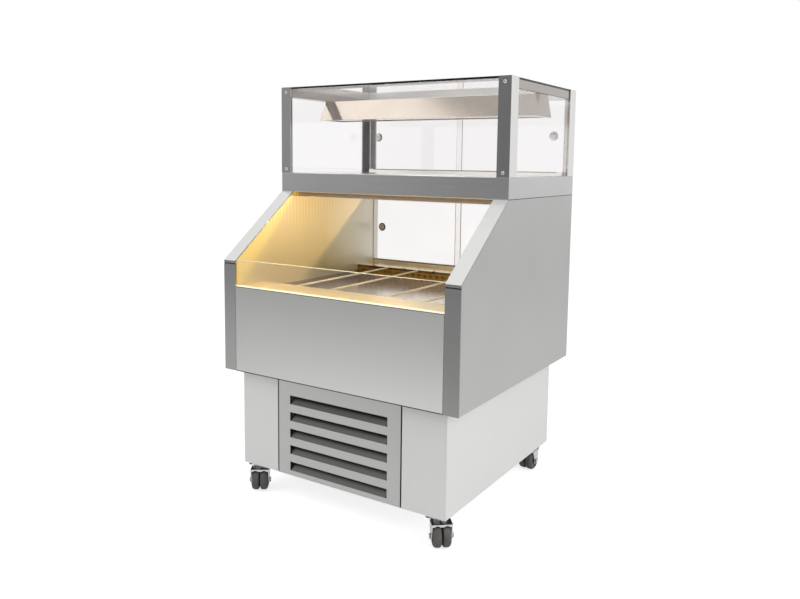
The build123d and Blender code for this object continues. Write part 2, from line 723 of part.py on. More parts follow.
def rocker_switch():
    """Rocker with a shallow V face, tipped to its off side, with its pivot pin."""
    half = ROCKER_HEIGHT / 2
    section = outline(
        [
            (-ROCKER_DEPTH, -half + 3),
            (0, -half),
            (ROCKER_EAR, -half),
            (ROCKER_PIN / 2, 0),
            (ROCKER_EAR, half),
            (0, half),
            (-ROCKER_DEPTH, half - 3),
        ]
    )
    rocker = along_x(Rot(0, 0, ROCKER_TILT) * section, -ROCKER_WIDTH / 2, ROCKER_WIDTH / 2)
    rocker = Pos(X_SWITCH, Y_TRACK_REAR + COLLAR_PROUD, Z_CONTROL) * rocker
    return rocker + rocker_pin(ROCKER_PIN / 2, ROCKER_WIDTH + 2 * ROCKER_GAP + COLLAR_WALL)


# Sliding doors
def track(half, z, height, grooves):
    """Two-groove track; grooves gives the low and high level of both grooves."""
    profile = outline(
        [(Y_TRACK_FRONT, z), (Y_TRACK_REAR, z), (Y_TRACK_REAR, z + height), (Y_TRACK_FRONT, z + height)]
    )
    part = along_x(profile, -half, half)
    for y in (Y_INNER_GROOVE, Y_OUTER_GROOVE):
        part -= block((-half - 1, half + 1), (y, y + GROOVE), grooves)
    return part


def door_tracks():
    """Foot and head tracks of the lower and the upper doors."""
    tracks = []
    for half, foot, head in ((X_LINER, Z_SILL, Z_DECK), (X_RAIL, Z_BOX, Z_RAIL_TOP)):
        foot_top = foot + FOOT_TRACK
        tracks.append(track(half, foot, FOOT_TRACK, (foot_top - FOOT_GROOVE, foot_top + 1)))
        head_low = head - HEAD_TRACK
        tracks.append(track(half, head_low, HEAD_TRACK, (head_low - 1, head_low + HEAD_GROOVE)))
    return tracks


def door(half, foot, head, left):
    """One sliding pane and its finger pull. The left door runs in the inner groove."""
    y = (Y_INNER_GROOVE if left else Y_OUTER_GROOVE) + GROOVE_GAP
    outer = half - DOOR_END_GAP
    x = (-outer, DOOR_OVERLAP / 2) if left else (-DOOR_OVERLAP / 2, outer)
    z = (foot + FOOT_TRACK - FOOT_GROOVE + FREE_GAP, head - HEAD_TRACK + HEAD_ENGAGE)
    pull_x = (PULL_INSET - half) if left else (half - PULL_INSET)
    spot = Pos(pull_x, (z[0] + z[1]) / 2)
    hole = spot * RegularPolygon(PULL_DIAMETER / 2 + RUNNING_FIT, DISC_SIDES)
    glass = pane(x, (y, y + DOOR_GLASS), z) - along_y(hole, y - 1, y + DOOR_GLASS + 1)
    front = y - PULL_RIM_THICKNESS
    back = y + DOOR_GLASS + PULL_RIM_THICKNESS
    pull = along_y(spot * RegularPolygon(PULL_DIAMETER / 2, DISC_SIDES), front, back)
    pull += along_y(spot * RegularPolygon(PULL_DIAMETER / 2 + PULL_RIM, DISC_SIDES), y + DOOR_GLASS, back)
    cup = RegularPolygon(PULL_DIAMETER / 2 - PULL_CUP_WALL, DISC_SIDES)
    pull -= along_y(spot * cup, front + PULL_CUP_WALL, back)
    return glass, pull


# Deck and glass box
def deck():
    """Deck tray over the well: top sheet with a deep skirt all round and eased folds."""
    inside = block(
        (SHEET - X_SIDE, X_SIDE - SHEET), (Y_HOOD + SHEET, Y_REAR - SHEET), (Z_DECK, Z_BOX - SHEET)
    )
    tray = block((-X_SIDE, X_SIDE), (Y_HOOD, Y_REAR), (Z_DECK, Z_BOX))
    return chamfer(tray.edges(), FOLD) - inside


def deck_soffit():
    """Sheet that closes the deck from below."""
    x = X_SIDE - SHEET
    return block((-x, x), (Y_HOOD + SHEET, Y_REAR - SHEET), (Z_DECK, Z_DECK + SHEET))


def deck_lamps():
    """Lamp channels at the front and rear of the deck: flange, sloping back and a forward lip."""
    foot = Z_DECK - DECK_LAMP_HEIGHT
    top = Z_DECK - SHEET
    channels = []
    for y in (Y_HOOD + DECK_LAMP_SETBACK, Y_TRACK_FRONT - DECK_LAMP_REAR_GAP - DECK_LAMP_DEPTH):
        path = [
            (y + DECK_LAMP_DEPTH, top),
            (y + DECK_LAMP_BACK, top),
            (y + DECK_LAMP_LIP, foot),
            (y, foot),
        ]
        channels.append(along_x(folded(path, Side.RIGHT), -X_LINER, X_LINER))
    return channels


def corner_posts():
    """Front and rear angle posts of the right side."""
    x0 = X_SIDE - POST_FACE
    front = folded([(x0, Y_HOOD), (X_SIDE, Y_HOOD), (X_SIDE, Y_HOOD + POST_LEG)], Side.LEFT, POST_WALL)
    rear = folded([(X_SIDE, Y_REAR - POST_LEG), (X_SIDE, Y_REAR), (x0, Y_REAR)], Side.LEFT, POST_WALL)
    return along_z(front, Z_BOX, Z_TOP), along_z(rear, Z_BOX, Z_TOP)


def side_rail():
    """Right top rail: square tube from the front post to the rear post."""
    spot = Pos((X_RAIL + X_BOX) / 2, (Z_RAIL + Z_RAIL_TOP) / 2)
    tube = Rectangle(RAIL_WIDTH, RAIL_HEIGHT) - Rectangle(RAIL_WIDTH - 2 * SHEET, RAIL_HEIGHT - 2 * SHEET)
    return along_y(spot * tube, Y_BOX_FRONT, Y_BOX_REAR)


def box_front_glass():
    """Upright front pane between the rails and behind the posts."""
    return pane((-X_RAIL, X_RAIL), (Y_BOX_FRONT, Y_BOX_FRONT + GLASS), (Z_BOX, Z_RAIL_TOP))


def box_side_glass():
    """Right side pane under the rail."""
    return pane((X_BOX - GLASS, X_BOX), (Y_BOX_FRONT, Y_BOX_REAR), (Z_BOX, Z_RAIL))


def box_top_glass():
    """Top pane, which lies on the rails."""
    return pane((-X_BOX, X_BOX), (Y_BOX_FRONT, Y_BOX_REAR), (Z_RAIL_TOP, Z_TOP))


# Lamp trough
def trough_outline():
    """Trapezium section of the trough, wide at its foot."""
    foot = TROUGH_FOOT / 2
    top = TROUGH_TOP / 2
    z0 = Z_RAIL - TROUGH_HEIGHT
    middle = Y_BOX_MIDDLE
    return outline(
        [(middle - foot, z0), (middle + foot, z0), (middle + top, Z_RAIL), (middle - top, Z_RAIL)]
    )


def lamp_trough():
    """Closed-ended trough under the side rails, open below inside a narrow lip."""
    x = X_TROUGH - SHEET
    shell = along_x(trough_outline(), -X_TROUGH, X_TROUGH)
    shell -= along_x(offset(trough_outline(), amount=-SHEET, kind=Kind.INTERSECTION), -x, x)
    z0 = Z_RAIL - TROUGH_HEIGHT
    half = TROUGH_FOOT / 2 - TROUGH_LIP
    mouth = (Y_BOX_MIDDLE - half, Y_BOX_MIDDLE + half)
    return shell - block((TROUGH_LIP - x, x - TROUGH_LIP), mouth, (z0 - 1, z0 + SHEET + 1))


def lamp_cover():
    """Glass cover that lies on the trough's lip."""
    x = X_TROUGH - SHEET - SEAM
    half = TROUGH_FOOT / 2 - SHEET - COVER_EDGE_GAP
    z0 = Z_RAIL - TROUGH_HEIGHT + SHEET
    return block((-x, x), (Y_BOX_MIDDLE - half, Y_BOX_MIDDLE + half), (z0, z0 + COVER_GLASS))


def heat_lamps():
    """Tube lamps with square ceramic ends, held between the trough's ends."""
    half = X_TROUGH - SHEET
    inner = half - LAMP_CAP_LENGTH
    lamp = along_x(RegularPolygon(LAMP_DIAMETER / 2, BAR_SIDES), -half, half)
    for x0, x1 in ((-half, -inner), (inner, half)):
        lamp += along_x(Rectangle(LAMP_CAP, LAMP_CAP), x0, x1)
    z = Z_RAIL - TROUGH_HEIGHT + LAMP_HEIGHT
    return [Pos(0, Y_BOX_MIDDLE + way * LAMP_SPACING / 2, z) * lamp for way in (-1, 1)]


# Write every node
os.makedirs("parts", exist_ok=True)

save("base_pan", base_pan())
save("plinth_right", plinth_side())
save("plinth_left", other_side(plinth_side()))
save("plinth_rear", plinth_rear())
save("cable_gland", cable_gland())
save("louvre_panel", louvre_panel())

save("castor_plates", *[castor_plate(corner) for corner in CASTOR_YAW])
for corner in CASTOR_YAW:
    save(f"castor_fork_{corner}", at_corner(corner, castor_fork()))
    save(f"castor_wheels_{corner}", at_corner(corner, castor_wheels()))

save("side_panel_right", side_panel())
save("side_panel_left", other_side(side_panel()))
save("side_liners", liner(), other_side(liner()))
save("edge_trim_right", *edge_trims())
save("edge_trim_left", *[other_side(strip) for strip in edge_trims()])
save("body_floor", body_floor())
save("front_panel", front_panel())
save("front_glass", front_glass())

save("front_sill", front_sill())
save("rear_ledge", rear_ledge())
save("well_tub", well_tub())
save("hot_plate", hot_plate())
save("heating_element", heating_element())
save("perforated_riser", perforated_riser())
places = notch_places()
for number, place in enumerate(ROD_NOTCHES):
    save(f"divider_rod_left_{number + 1}", divider_rod(-places[place]))
    save(f"divider_rod_right_{number + 1}", divider_rod(places[place]))

save("blower_wheel", blower_wheel())
save("blower_motor", *blower_motor())
save("rear_panel", rear_panel())
save("control_housing", control_housing())
save("thermostat_knob", thermostat_knob())
save("rocker_switch", rocker_switch())

save("door_tracks", *door_tracks())
for level, half, foot, head in (
    ("lower", X_LINER, Z_SILL, Z_DECK),
    ("upper", X_RAIL, Z_BOX, Z_RAIL_TOP),
):
    for hand in ("left", "right"):
        glass, pull = door(half, foot, head, hand == "left")
        save(f"{level}_door_{hand}", glass)
        save(f"{level}_pull_{hand}", pull)

save("deck", deck())
save("deck_soffit", deck_soffit())
save("deck_lamps", *deck_lamps())
posts = corner_posts()
save("corner_posts", *posts, *[other_side(post) for post in posts])
save("side_rails", side_rail(), other_side(side_rail()))
save("box_front_glass", box_front_glass())
save("box_side_glass", box_side_glass(), other_side(box_side_glass()))
save("box_top_glass", box_top_glass())
save("lamp_trough", lamp_trough())
save("lamp_cover", lamp_cover())
save("heat_lamps", *heat_lamps())
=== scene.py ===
import json
from math import cos, pi, radians, sin

import bmesh
import bpy
import numpy as np
from mathutils import Matrix, Vector


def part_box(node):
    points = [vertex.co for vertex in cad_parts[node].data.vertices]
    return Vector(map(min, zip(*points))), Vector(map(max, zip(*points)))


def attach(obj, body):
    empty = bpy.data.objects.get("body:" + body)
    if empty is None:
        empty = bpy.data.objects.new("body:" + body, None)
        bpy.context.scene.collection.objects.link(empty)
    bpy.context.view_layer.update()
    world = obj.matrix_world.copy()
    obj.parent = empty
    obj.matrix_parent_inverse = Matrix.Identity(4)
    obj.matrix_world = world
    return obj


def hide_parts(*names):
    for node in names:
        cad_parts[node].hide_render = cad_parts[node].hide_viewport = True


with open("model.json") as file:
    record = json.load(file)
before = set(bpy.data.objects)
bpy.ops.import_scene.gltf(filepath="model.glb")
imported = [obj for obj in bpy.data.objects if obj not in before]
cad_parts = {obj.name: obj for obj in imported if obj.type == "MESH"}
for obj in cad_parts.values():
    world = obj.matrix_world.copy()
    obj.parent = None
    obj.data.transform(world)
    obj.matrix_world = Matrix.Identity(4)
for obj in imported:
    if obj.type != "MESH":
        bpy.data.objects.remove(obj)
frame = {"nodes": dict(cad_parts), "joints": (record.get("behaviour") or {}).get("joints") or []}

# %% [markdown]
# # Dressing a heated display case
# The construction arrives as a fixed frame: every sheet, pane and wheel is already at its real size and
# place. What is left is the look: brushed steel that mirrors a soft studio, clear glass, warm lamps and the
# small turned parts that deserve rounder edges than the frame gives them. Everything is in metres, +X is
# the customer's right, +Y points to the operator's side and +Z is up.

MM = 0.001
scene = bpy.context.scene
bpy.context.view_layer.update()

# %% [markdown]
# ## Camera
# The view is a product photograph taken from the front right, a little above the deck. A camera could be
# aimed by eye, but its place, heading and focal length were worked out from eighteen corners of the case,
# so they are typed in as real values. The small vertical shift is what the framing needs.

# %% Camera
IMAGE_WIDTH = 800
FOCAL_PIXELS = 760.0
SENSOR = 36.0
CAMERA_PLACE = Vector((1.2528, -1.9899, 1.0000))
HEADING, DOWN, ROLL = radians(32.538), radians(6.236), radians(0.697)
SHIFT_UP = -0.068


def camera_turn(heading, down, roll):
    """Camera axes as a matrix: forward from heading and dip, right level, then both rolled about forward."""
    forward = Vector((-sin(heading) * cos(down), cos(heading) * cos(down), -sin(down)))
    level = Vector((cos(heading), sin(heading), 0))
    up = level.cross(forward)
    right = cos(roll) * level + sin(roll) * up
    return Matrix((right, right.cross(forward), -forward)).transposed()


camera = bpy.data.objects.new("camera", bpy.data.cameras.new("camera"))
camera.data.sensor_width = SENSOR
camera.data.lens = FOCAL_PIXELS / IMAGE_WIDTH * SENSOR
camera.data.shift_y = SHIFT_UP
camera.matrix_world = Matrix.Translation(CAMERA_PLACE) @ camera_turn(HEADING, DOWN, ROLL).to_4x4()
scene.collection.objects.link(camera)
scene.camera = camera
scene.view_settings.view_transform = "Standard"
print("camera lens", round(camera.data.lens, 2))

# %% [markdown]
# ## Node helpers
# A finish is a small graph of shader nodes. Writing every node by hand hides the idea, so short helpers add
# a node and feed it, start a finish, stretch a noise along one axis, and map or mix what it gives. A number
# that is the same all over is set on the socket itself.

# %% Node helpers
def feed(target, inputs):
    """Feed a node's inputs, by name or by place: an output socket is linked, a plain value is set."""
    for name, value in inputs.items():
        if isinstance(value, bpy.types.NodeSocket):
            target.id_data.links.new(value, target.inputs[name])
        else:
            target.inputs[name].default_value = value
    return target


def node(tree, kind, inputs=None, **properties):
    """Add one shader node, set its properties and feed its inputs."""
    made = tree.nodes.new("ShaderNode" + kind)
    for name, value in properties.items():
        setattr(made, name, value)
    return feed(made, inputs or {})


def computed(tree, operation, *inputs):
    """The output of a Math node."""
    return node(tree, "Math", dict(enumerate(inputs)), operation=operation).outputs[0]


def finish_named(name):
    """A new material with its tree and its Principled shader."""
    material = bpy.data.materials.new(name)
    material.use_nodes = True
    return material, material.node_tree, material.node_tree.nodes["Principled BSDF"]


print("materials before the finishes", len(bpy.data.materials))

# %% Noise, ranges and tints
NOISE_LOW, NOISE_HIGH = 0.25, 0.75
# A Mix node has number and colour sockets of the same name, so they are told apart by their place.
COLOUR_A, COLOUR_B, COLOUR_OUT = 6, 7, 2


def object_place(tree):
    """The output with a point's Object coordinates."""
    return node(tree, "TexCoord").outputs["Object"]


def stretched_noise(tree, scale, detail=3.0):
    """Noise on Object coordinates with a scale per metre for each axis: a small one draws long streaks."""
    mapping = node(tree, "Mapping", {"Vector": object_place(tree), "Scale": scale})
    inputs = {"Vector": mapping.outputs["Vector"], "Scale": 1.0, "Detail": detail}
    return node(tree, "TexNoise", inputs).outputs["Fac"]


def spread(tree, value, low, high, start=NOISE_LOW, end=NOISE_HIGH):
    """Map a value onto a range: low up to start, high from end on. Noise keeps mostly between the two."""
    inputs = {"Value": value, "From Min": start, "From Max": end, "To Min": low, "To Max": high}
    return node(tree, "MapRange", inputs).outputs["Result"]


def tinted(tree, amount, dark, light):
    """Mix two colours by a 0 to 1 value."""
    inputs = {"Factor": amount, COLOUR_A: (*dark, 1), COLOUR_B: (*light, 1)}
    return node(tree, "Mix", inputs, data_type="RGBA").outputs[COLOUR_OUT]


print("noise keeps mostly between", NOISE_LOW, NOISE_HIGH)

# %% [markdown]
# ## Brushed steel
# The shell is stainless sheet with a fine linear grain. An image of scratches would repeat, so the grain is
# noise that is stretched along one axis: it shifts the colour and the roughness a little and cuts a very
# shallow relief. A second, slow noise stands for the wiped, cloudy look of handled steel. A bevel node
# rounds the folded edges, so that they catch a line of light.

# %% Steel with a grain
GRAIN_ALONG, GRAIN_ACROSS, GRAIN_SHARE = 3.0, 900.0, 0.55
CLOUD_SCALE, CLOUD_DETAIL = (5.0, 5.0, 5.0), 2.0
ROUGH_SWING, RELIEF_DEPTH, FOLD_RADIUS = 0.15, 0.2 * MM, 1.2 * MM


def brushed(name, colour, along, roughness, contrast=0.06, metallic=1.0, fold=FOLD_RADIUS, relief=0.06):
    """Metal whose grain runs along one axis: base colour, its swing, the roughness and the edge radius."""
    material, tree, shader = finish_named(name)
    grain = stretched_noise(tree, tuple(GRAIN_ALONG if axis == along else GRAIN_ACROSS for axis in "xyz"))
    clouds = computed(tree, "MULTIPLY", stretched_noise(tree, CLOUD_SCALE, CLOUD_DETAIL), 1 - GRAIN_SHARE)
    both = computed(tree, "MULTIPLY_ADD", grain, GRAIN_SHARE, clouds)
    dark = [c * (1 - contrast) for c in colour]
    light = [min(c * (1 + contrast), 1.0) for c in colour]
    smooth, rough = roughness * (1 - ROUGH_SWING), roughness * (1 + ROUGH_SWING)
    edge = node(tree, "Bevel", {"Radius": fold}, samples=4).outputs["Normal"]
    cut = {"Strength": relief, "Distance": RELIEF_DEPTH, "Height": grain, "Normal": edge}
    inputs = {
        "Base Color": tinted(tree, spread(tree, both, 0, 1), dark, light),
        "Roughness": spread(tree, both, smooth, rough),
        "Normal": node(tree, "Bump", cut).outputs["Normal"],
        "Metallic": metallic,
    }
    feed(shader, inputs)
    return material


print("grain per metre, along and across", GRAIN_ALONG, GRAIN_ACROSS)

# %% [markdown]
# One sheet often shows two tones: a fold turns to another part of the room, a hem lies in its own shade, a
# wall looks ribbed where the lamps graze it. Here these tones are painted light and shade. The sheet could
# be cut into several meshes. Mixing a second colour in, by the direction of the face or by the place on an
# axis, paints them and keeps one mesh and one finish.

# %% Second colours
FACE_START, FACE_END, REED_SHARE = 0.3, 0.4, 0.3


def recoloured(material, colour, amount):
    """Mix a second colour into a finish by a 0 to 1 output of its own tree."""
    tree = material.node_tree
    shader = tree.nodes["Principled BSDF"]
    first = shader.inputs["Base Color"].links[0].from_socket
    inputs = {"Factor": amount, COLOUR_A: first, COLOUR_B: (*colour, 1)}
    feed(shader, {"Base Color": node(tree, "Mix", inputs, data_type="RGBA").outputs[COLOUR_OUT]})
    return material


def painted_by_facing(material, colour, axis):
    """Paint light or shade on the faces that look along an axis: a second colour by the size of that part of
    the normal.
    """
    tree = material.node_tree
    normal = node(tree, "NewGeometry").outputs["True Normal"]
    size = computed(tree, "ABSOLUTE", node(tree, "SeparateXYZ", {0: normal}).outputs[axis])
    return recoloured(material, colour, spread(tree, size, 0, 1, FACE_START, FACE_END))


def place_parts(tree):
    """The outputs X, Y and Z of a point's Object coordinates."""
    return node(tree, "SeparateXYZ", {0: object_place(tree)}).outputs


def waves(tree, axis, pitch):
    """A 0 to 1 wave along an axis: the texture repeats every pi / (10 x scale), which is the pitch."""
    inputs = {"Vector": object_place(tree), "Scale": pi / (10 * pitch)}
    return node(tree, "TexWave", inputs, bands_direction=axis).outputs["Fac"]


def painted_reeds(material, colour, pitch, start, end):
    """Painted lamp light in fine upright lines of another colour: a wave along Y, fading in between two
    heights, in metres.
    """
    tree = material.node_tree
    share = spread(tree, place_parts(tree)["Z"], 0, REED_SHARE, start, end)
    return recoloured(material, colour, computed(tree, "MULTIPLY", waves(tree, "Y", pitch), share))


def faded(material, colour, axis, start, end):
    """Let a finish turn into another colour between two places on an axis, in metres."""
    tree = material.node_tree
    return recoloured(material, colour, spread(tree, place_parts(tree)[axis], 0, 1, start, end))


print("a face takes its second colour between", FACE_START, FACE_END)

# %% [markdown]
# It is one steel in the workshop, but each sheet was brushed along its own length and faces another part of
# the room, so each gets its own grain direction and a tone that paints the light and shade it mirrors there.
# The liners, the sill and the well have the yellow of the lamps painted into their colour.

# %% Steel finishes
HEM_SHADE_FOOT, HEM_SHADE_TOP = 0.3738, 0.3754
shell_upright = brushed("shell_steel_upright", (0.59, 0.59, 0.58), "z", 0.36)
shell_level = brushed("shell_steel_level", (0.70, 0.70, 0.69), "x", 0.40)
# Painted light and shade on the front and rear panels: lighter towards the right, darker towards the top,
# and a painted shadow line along the bottom fold.
shell_level = faded(shell_level, (0.90, 0.90, 0.89), "X", -0.36, 0.36)
shell_level = faded(shell_level, (0.26, 0.26, 0.26), "Z", 0.38, 1.15)
shell_level = faded(shell_level, (0.05, 0.05, 0.05), "Z", HEM_SHADE_TOP, HEM_SHADE_FOOT)
# The deck's level faces get a lighter colour: painted light.
deck_steel = painted_by_facing(brushed("deck_steel", (0.62, 0.62, 0.62), "x", 0.22), (0.93, 0.92, 0.90), "Z")
# The liners' yellow, stronger towards the front and paler towards the rear, and their pale upright lines
# near the top are painted lamp light: the diodes' pool of light and their glints.
liner_steel = brushed("liner_steel", (0.75, 0.65, 0.38), "z", 0.46, 0.05, 0.55)
liner_steel = faded(liner_steel, (0.98, 0.94, 0.82), "Y", 0.05, 0.30)
liner_steel = painted_reeds(liner_steel, (1.0, 0.96, 0.80), 16 * MM, 0.74, 0.86)
# The sill, the hot plate and the riser have the lamps' warm light and shade painted into their colour. The
# hot plate is kept out of the diodes' light, which its colour paints in.
sill_steel = brushed("sill_steel", (0.97, 0.85, 0.57), "x", 0.34, metallic=0.55)
plate_steel = brushed("hot_plate_steel", (1.0, 0.90, 0.78), "x", 0.20, metallic=0.9, relief=0.01)
riser_steel = brushed("riser_steel", (0.45, 0.285, 0.09), "x", 0.45)
plinth_sheet = brushed("plinth_sheet", (0.86, 0.86, 0.85), "z", 0.45, 0.03, 0.40)
louvre_sheet = brushed("louvre_sheet", (0.58, 0.58, 0.57), "x", 0.38)
# The louvre's flaps, which face up and down, get a dark colour: painted shade inside the slots.
louvre_sheet = painted_by_facing(louvre_sheet, (0.15, 0.15, 0.146), "Z")
hidden_sheet = brushed("hidden_sheet", (0.55, 0.55, 0.55), "x", 0.45)
# The tub's warm brown is painted lamp light and shade.
tub_steel = brushed("tub_steel", (0.46, 0.37, 0.26), "x", 0.40)
rail_steel = brushed("rail_steel", (0.50, 0.465, 0.44), "y", 0.25)
# The trims: the upright strips get a dark tone and the slanted caps a light one, painted reflections of the
# darker wall and the bright ceiling.
trim_steel = brushed("trim_steel", (0.395, 0.395, 0.395), "z", 0.22)
trim_steel = painted_by_facing(trim_steel, (0.77, 0.77, 0.76), "Z")
# The posts get painted light: the rear posts are lighter and warmer, and the faces that look sideways are
# light.
post_steel = brushed("post_steel", (0.44, 0.44, 0.44), "z", 0.20)
post_steel = faded(post_steel, (0.70, 0.665, 0.63), "Y", 0.2, 0.3)
post_steel = painted_by_facing(post_steel, (0.84, 0.84, 0.83), "X")
# The ledge is coloured by facing: gold painted light on its top, dark brown painted shade on its upright
# faces.
ledge_steel = painted_by_facing(brushed("ledge_steel", (0.20, 0.14, 0.07), "x", 0.20), (1.0, 0.82, 0.50), "Z")
print("steel finishes", len(bpy.data.materials))

# %% [markdown]
# ## Plated, drawn and polished metal
# Castor forks are zinc plated, rods and pulls are bright, tracks are anodised and the lamp trough is
# polished, so that it mirrors the nearest post. The castor nuts are darkened with painted shade, as they
# hang in the shadow under the plinth. They are the same graph with other numbers, so the helper of the steel
# serves all of them.

# %% Other metals
# The castor forks and plates get a dark colour on their level faces: a painted dark reflection and shade.
zinc = brushed("zinc_plate", (0.74, 0.74, 0.74), "z", 0.22, 0.08, fold=0.6 * MM)
zinc = painted_by_facing(zinc, (0.30, 0.30, 0.30), "Z")
# The rods' yellow is the lamps' warm light painted in.
bright_bar = brushed("bright_bar", (1.0, 0.90, 0.62), "y", 0.28, 0.04, 0.3, fold=0.3 * MM)
pull_metal = brushed("pull_metal", (0.54, 0.50, 0.49), "y", 0.18, 0.10, fold=0.4 * MM)
# The tracks' faces that look along Y get a pale colour: painted light.
track_alloy = brushed("anodised_track", (0.56, 0.52, 0.46), "x", 0.34, 0.05)
track_alloy = painted_by_facing(track_alloy, (0.90, 0.875, 0.83), "Y")
# The blower wheel is dark anodised; its near black also paints the shade behind the riser's holes.
wheel_alloy = brushed("dark_alloy", (0.07, 0.065, 0.06), "x", 0.40, 0.08)
polished = brushed("polished_trough", (0.36, 0.32, 0.275), "x", 0.13, 0.03, relief=0.01)
# The lamp channels are kept out of the diodes' light, and their warm pale colour paints that light in.
lamp_channel = brushed("lamp_channel", (0.97, 0.87, 0.79), "x", 0.36, 0.08)
element_sheath = brushed("element_sheath", (0.22, 0.20, 0.19), "x", 0.45, 0.25)
motor_paint = brushed("motor_paint", (0.10, 0.10, 0.11), "x", 0.50, 0.12, 0.2)
screw_steel = brushed("screw_steel", (0.90, 0.90, 0.90), "y", 0.24, 0.08, 0.5, fold=0.2 * MM)
# The nuts' dark colour is painted shade under the plinth.
nut_steel = brushed("blued_steel", (0.20, 0.20, 0.205), "z", 0.30, 0.08, fold=0.3 * MM)
print("metal finishes", len(bpy.data.materials))

# %% [markdown]
# ## Glass
# A pane is a real slab, so the shader may bend light at both faces. Plain glass would also throw a black
# shadow in a path tracer, so shadow rays see a transparent shader instead. Faint wipe marks vary the
# roughness.

# %% Glass
GLASS_BEND, WIPE_SCALE, WIPE_DETAIL = 1.46, (9.0, 9.0, 2.5), 4.0


def glass(name, colour, smear, gloss=0.5):
    """Clear glass with faint smears that lets the lamps' light through. A low gloss is a coated pane's."""
    material, tree, shader = finish_named(name)
    inputs = {
        "Base Color": (*colour, 1),
        "Transmission Weight": 1.0,
        "IOR": GLASS_BEND,
        "Specular IOR Level": gloss,
        "Roughness": spread(tree, stretched_noise(tree, WIPE_SCALE, WIPE_DETAIL), 0.0, smear),
    }
    feed(shader, inputs)
    shadow = node(tree, "LightPath").outputs["Is Shadow Ray"]
    clear = node(tree, "BsdfTransparent", {"Color": (*colour, 1)})
    either = node(tree, "MixShader", {0: shadow, 1: shader.outputs[0], 2: clear.outputs[0]})
    feed(tree.nodes["Material Output"], {"Surface": either.outputs[0]})
    return material


pane_glass = glass("pane_glass", (0.982, 0.974, 0.976), 0.02)
low_glass = glass("low_glass", (0.982, 0.974, 0.976), 0.02, 0.2)
door_glass = glass("door_glass", (0.945, 0.930, 0.930), 0.02)
quartz = glass("quartz_tube", (1.0, 0.97, 0.92), 0.05)
print("with glass", len(bpy.data.materials))

# %% [markdown]
# ## Rubber, plastic and ceramic
# Moulded parts have a fine even grain and a little mottling. Rubber is duller and shows dusty wear on the
# tread. The ground edges of glass are as matt as ceramic, so they are made in the same way. The pale seal
# at the foot of the low glass is lit from within the pane: its pale yellow and the little glow of its own
# are painted light.

# %% Moulded finishes
PATCH_SCALE, PATCH_DETAIL, SPECK_DETAIL = (60.0, 60.0, 60.0), 2.0, 4.0
SPECK_SMOOTH, SPECK_ROUGH, SPECK_DEPTH = 0.85, 1.1, 0.3 * MM


def moulded(name, dark, light, roughness, grain, relief):
    """Plastic, rubber or ceramic: two close colours by a fine noise, with a shallow relief."""
    material, tree, shader = finish_named(name)
    speck = stretched_noise(tree, (grain, grain, grain), SPECK_DETAIL)
    patch = stretched_noise(tree, PATCH_SCALE, PATCH_DETAIL)
    cut = {"Strength": relief, "Distance": SPECK_DEPTH, "Height": speck}
    inputs = {
        "Base Color": tinted(tree, spread(tree, patch, 0, 1), dark, light),
        "Roughness": spread(tree, speck, roughness * SPECK_SMOOTH, roughness * SPECK_ROUGH),
        "Normal": node(tree, "Bump", cut).outputs["Normal"],
    }
    feed(shader, inputs)
    return material


tread = moulded("wheel_tread", (0.085, 0.082, 0.080), (0.13, 0.126, 0.122), 0.62, 1400.0, 0.25)
hub_plastic = moulded("hub_plastic", (0.10, 0.10, 0.10), (0.14, 0.14, 0.14), 0.5, 1800.0, 0.12)
grey_plastic = moulded("grey_plastic", (0.17, 0.17, 0.18), (0.21, 0.21, 0.22), 0.5, 1800.0, 0.15)
black_plastic = moulded("black_plastic", (0.014, 0.014, 0.015), (0.022, 0.022, 0.023), 0.42, 1800.0, 0.15)
mark_paint = moulded("mark_paint", (0.72, 0.72, 0.71), (0.80, 0.80, 0.79), 0.55, 2500.0, 0.05)
ceramic = moulded("lamp_ceramic", (0.74, 0.71, 0.64), (0.82, 0.79, 0.72), 0.6, 900.0, 0.2)
ground_edge = moulded("ground_glass_edge", (0.70, 0.76, 0.80), (0.78, 0.84, 0.88), 0.6, 900.0, 0.1)
# The seal's pale yellow and its glow are painted light from within the pane.
pale_seal = moulded("pale_glass_seal", (0.96, 0.92, 0.76), (1.0, 0.97, 0.84), 0.6, 900.0, 0.1)
seal_painted_glow = {"Emission Color": (1.0, 0.92, 0.70, 1), "Emission Strength": 0.5}
feed(pale_seal.node_tree.nodes["Principled BSDF"], seal_painted_glow)
print("with moulded finishes", len(bpy.data.materials))

# %% [markdown]
# ## Glowing finishes
# Lamps are warm: the strips under the deck are rows of small diodes behind a lens and the trough holds two
# hot wires. The glow is an emission on the shader. The light that they throw comes from lamps placed beside
# them, which are less noisy than glowing meshes.

# %% Glowing finishes
DIMMEST, GLOW_ROUGHNESS = 0.5, 0.4


def glowing(name, colour, strength, pitch):
    """Warm emitter, brighter at every diode: a wave along X of the given pitch drives its strength."""
    material, tree, shader = finish_named(name)
    inputs = {
        "Base Color": (*colour, 1),
        "Roughness": GLOW_ROUGHNESS,
        "Emission Color": (*colour, 1),
        "Emission Strength": spread(tree, waves(tree, "X", pitch), DIMMEST * strength, strength, 0.0, 1.0),
    }
    feed(shader, inputs)
    return material


WARM = (1.0, 0.66, 0.28)
diode_lens = glowing("diode_lens", WARM, 0.35, 8 * MM)
hot_wire = glowing("hot_wire", (1.0, 0.62, 0.22), 1.5, 3 * MM)
print("with glowing finishes", len(bpy.data.materials))

# %% [markdown]
# ## Finish of every node
# Each node of the frame keeps its mesh and gets one of the finishes above. Many nodes come in sets, so the
# start of a name is enough. The first start that fits counts, so the deck stands after its own parts.

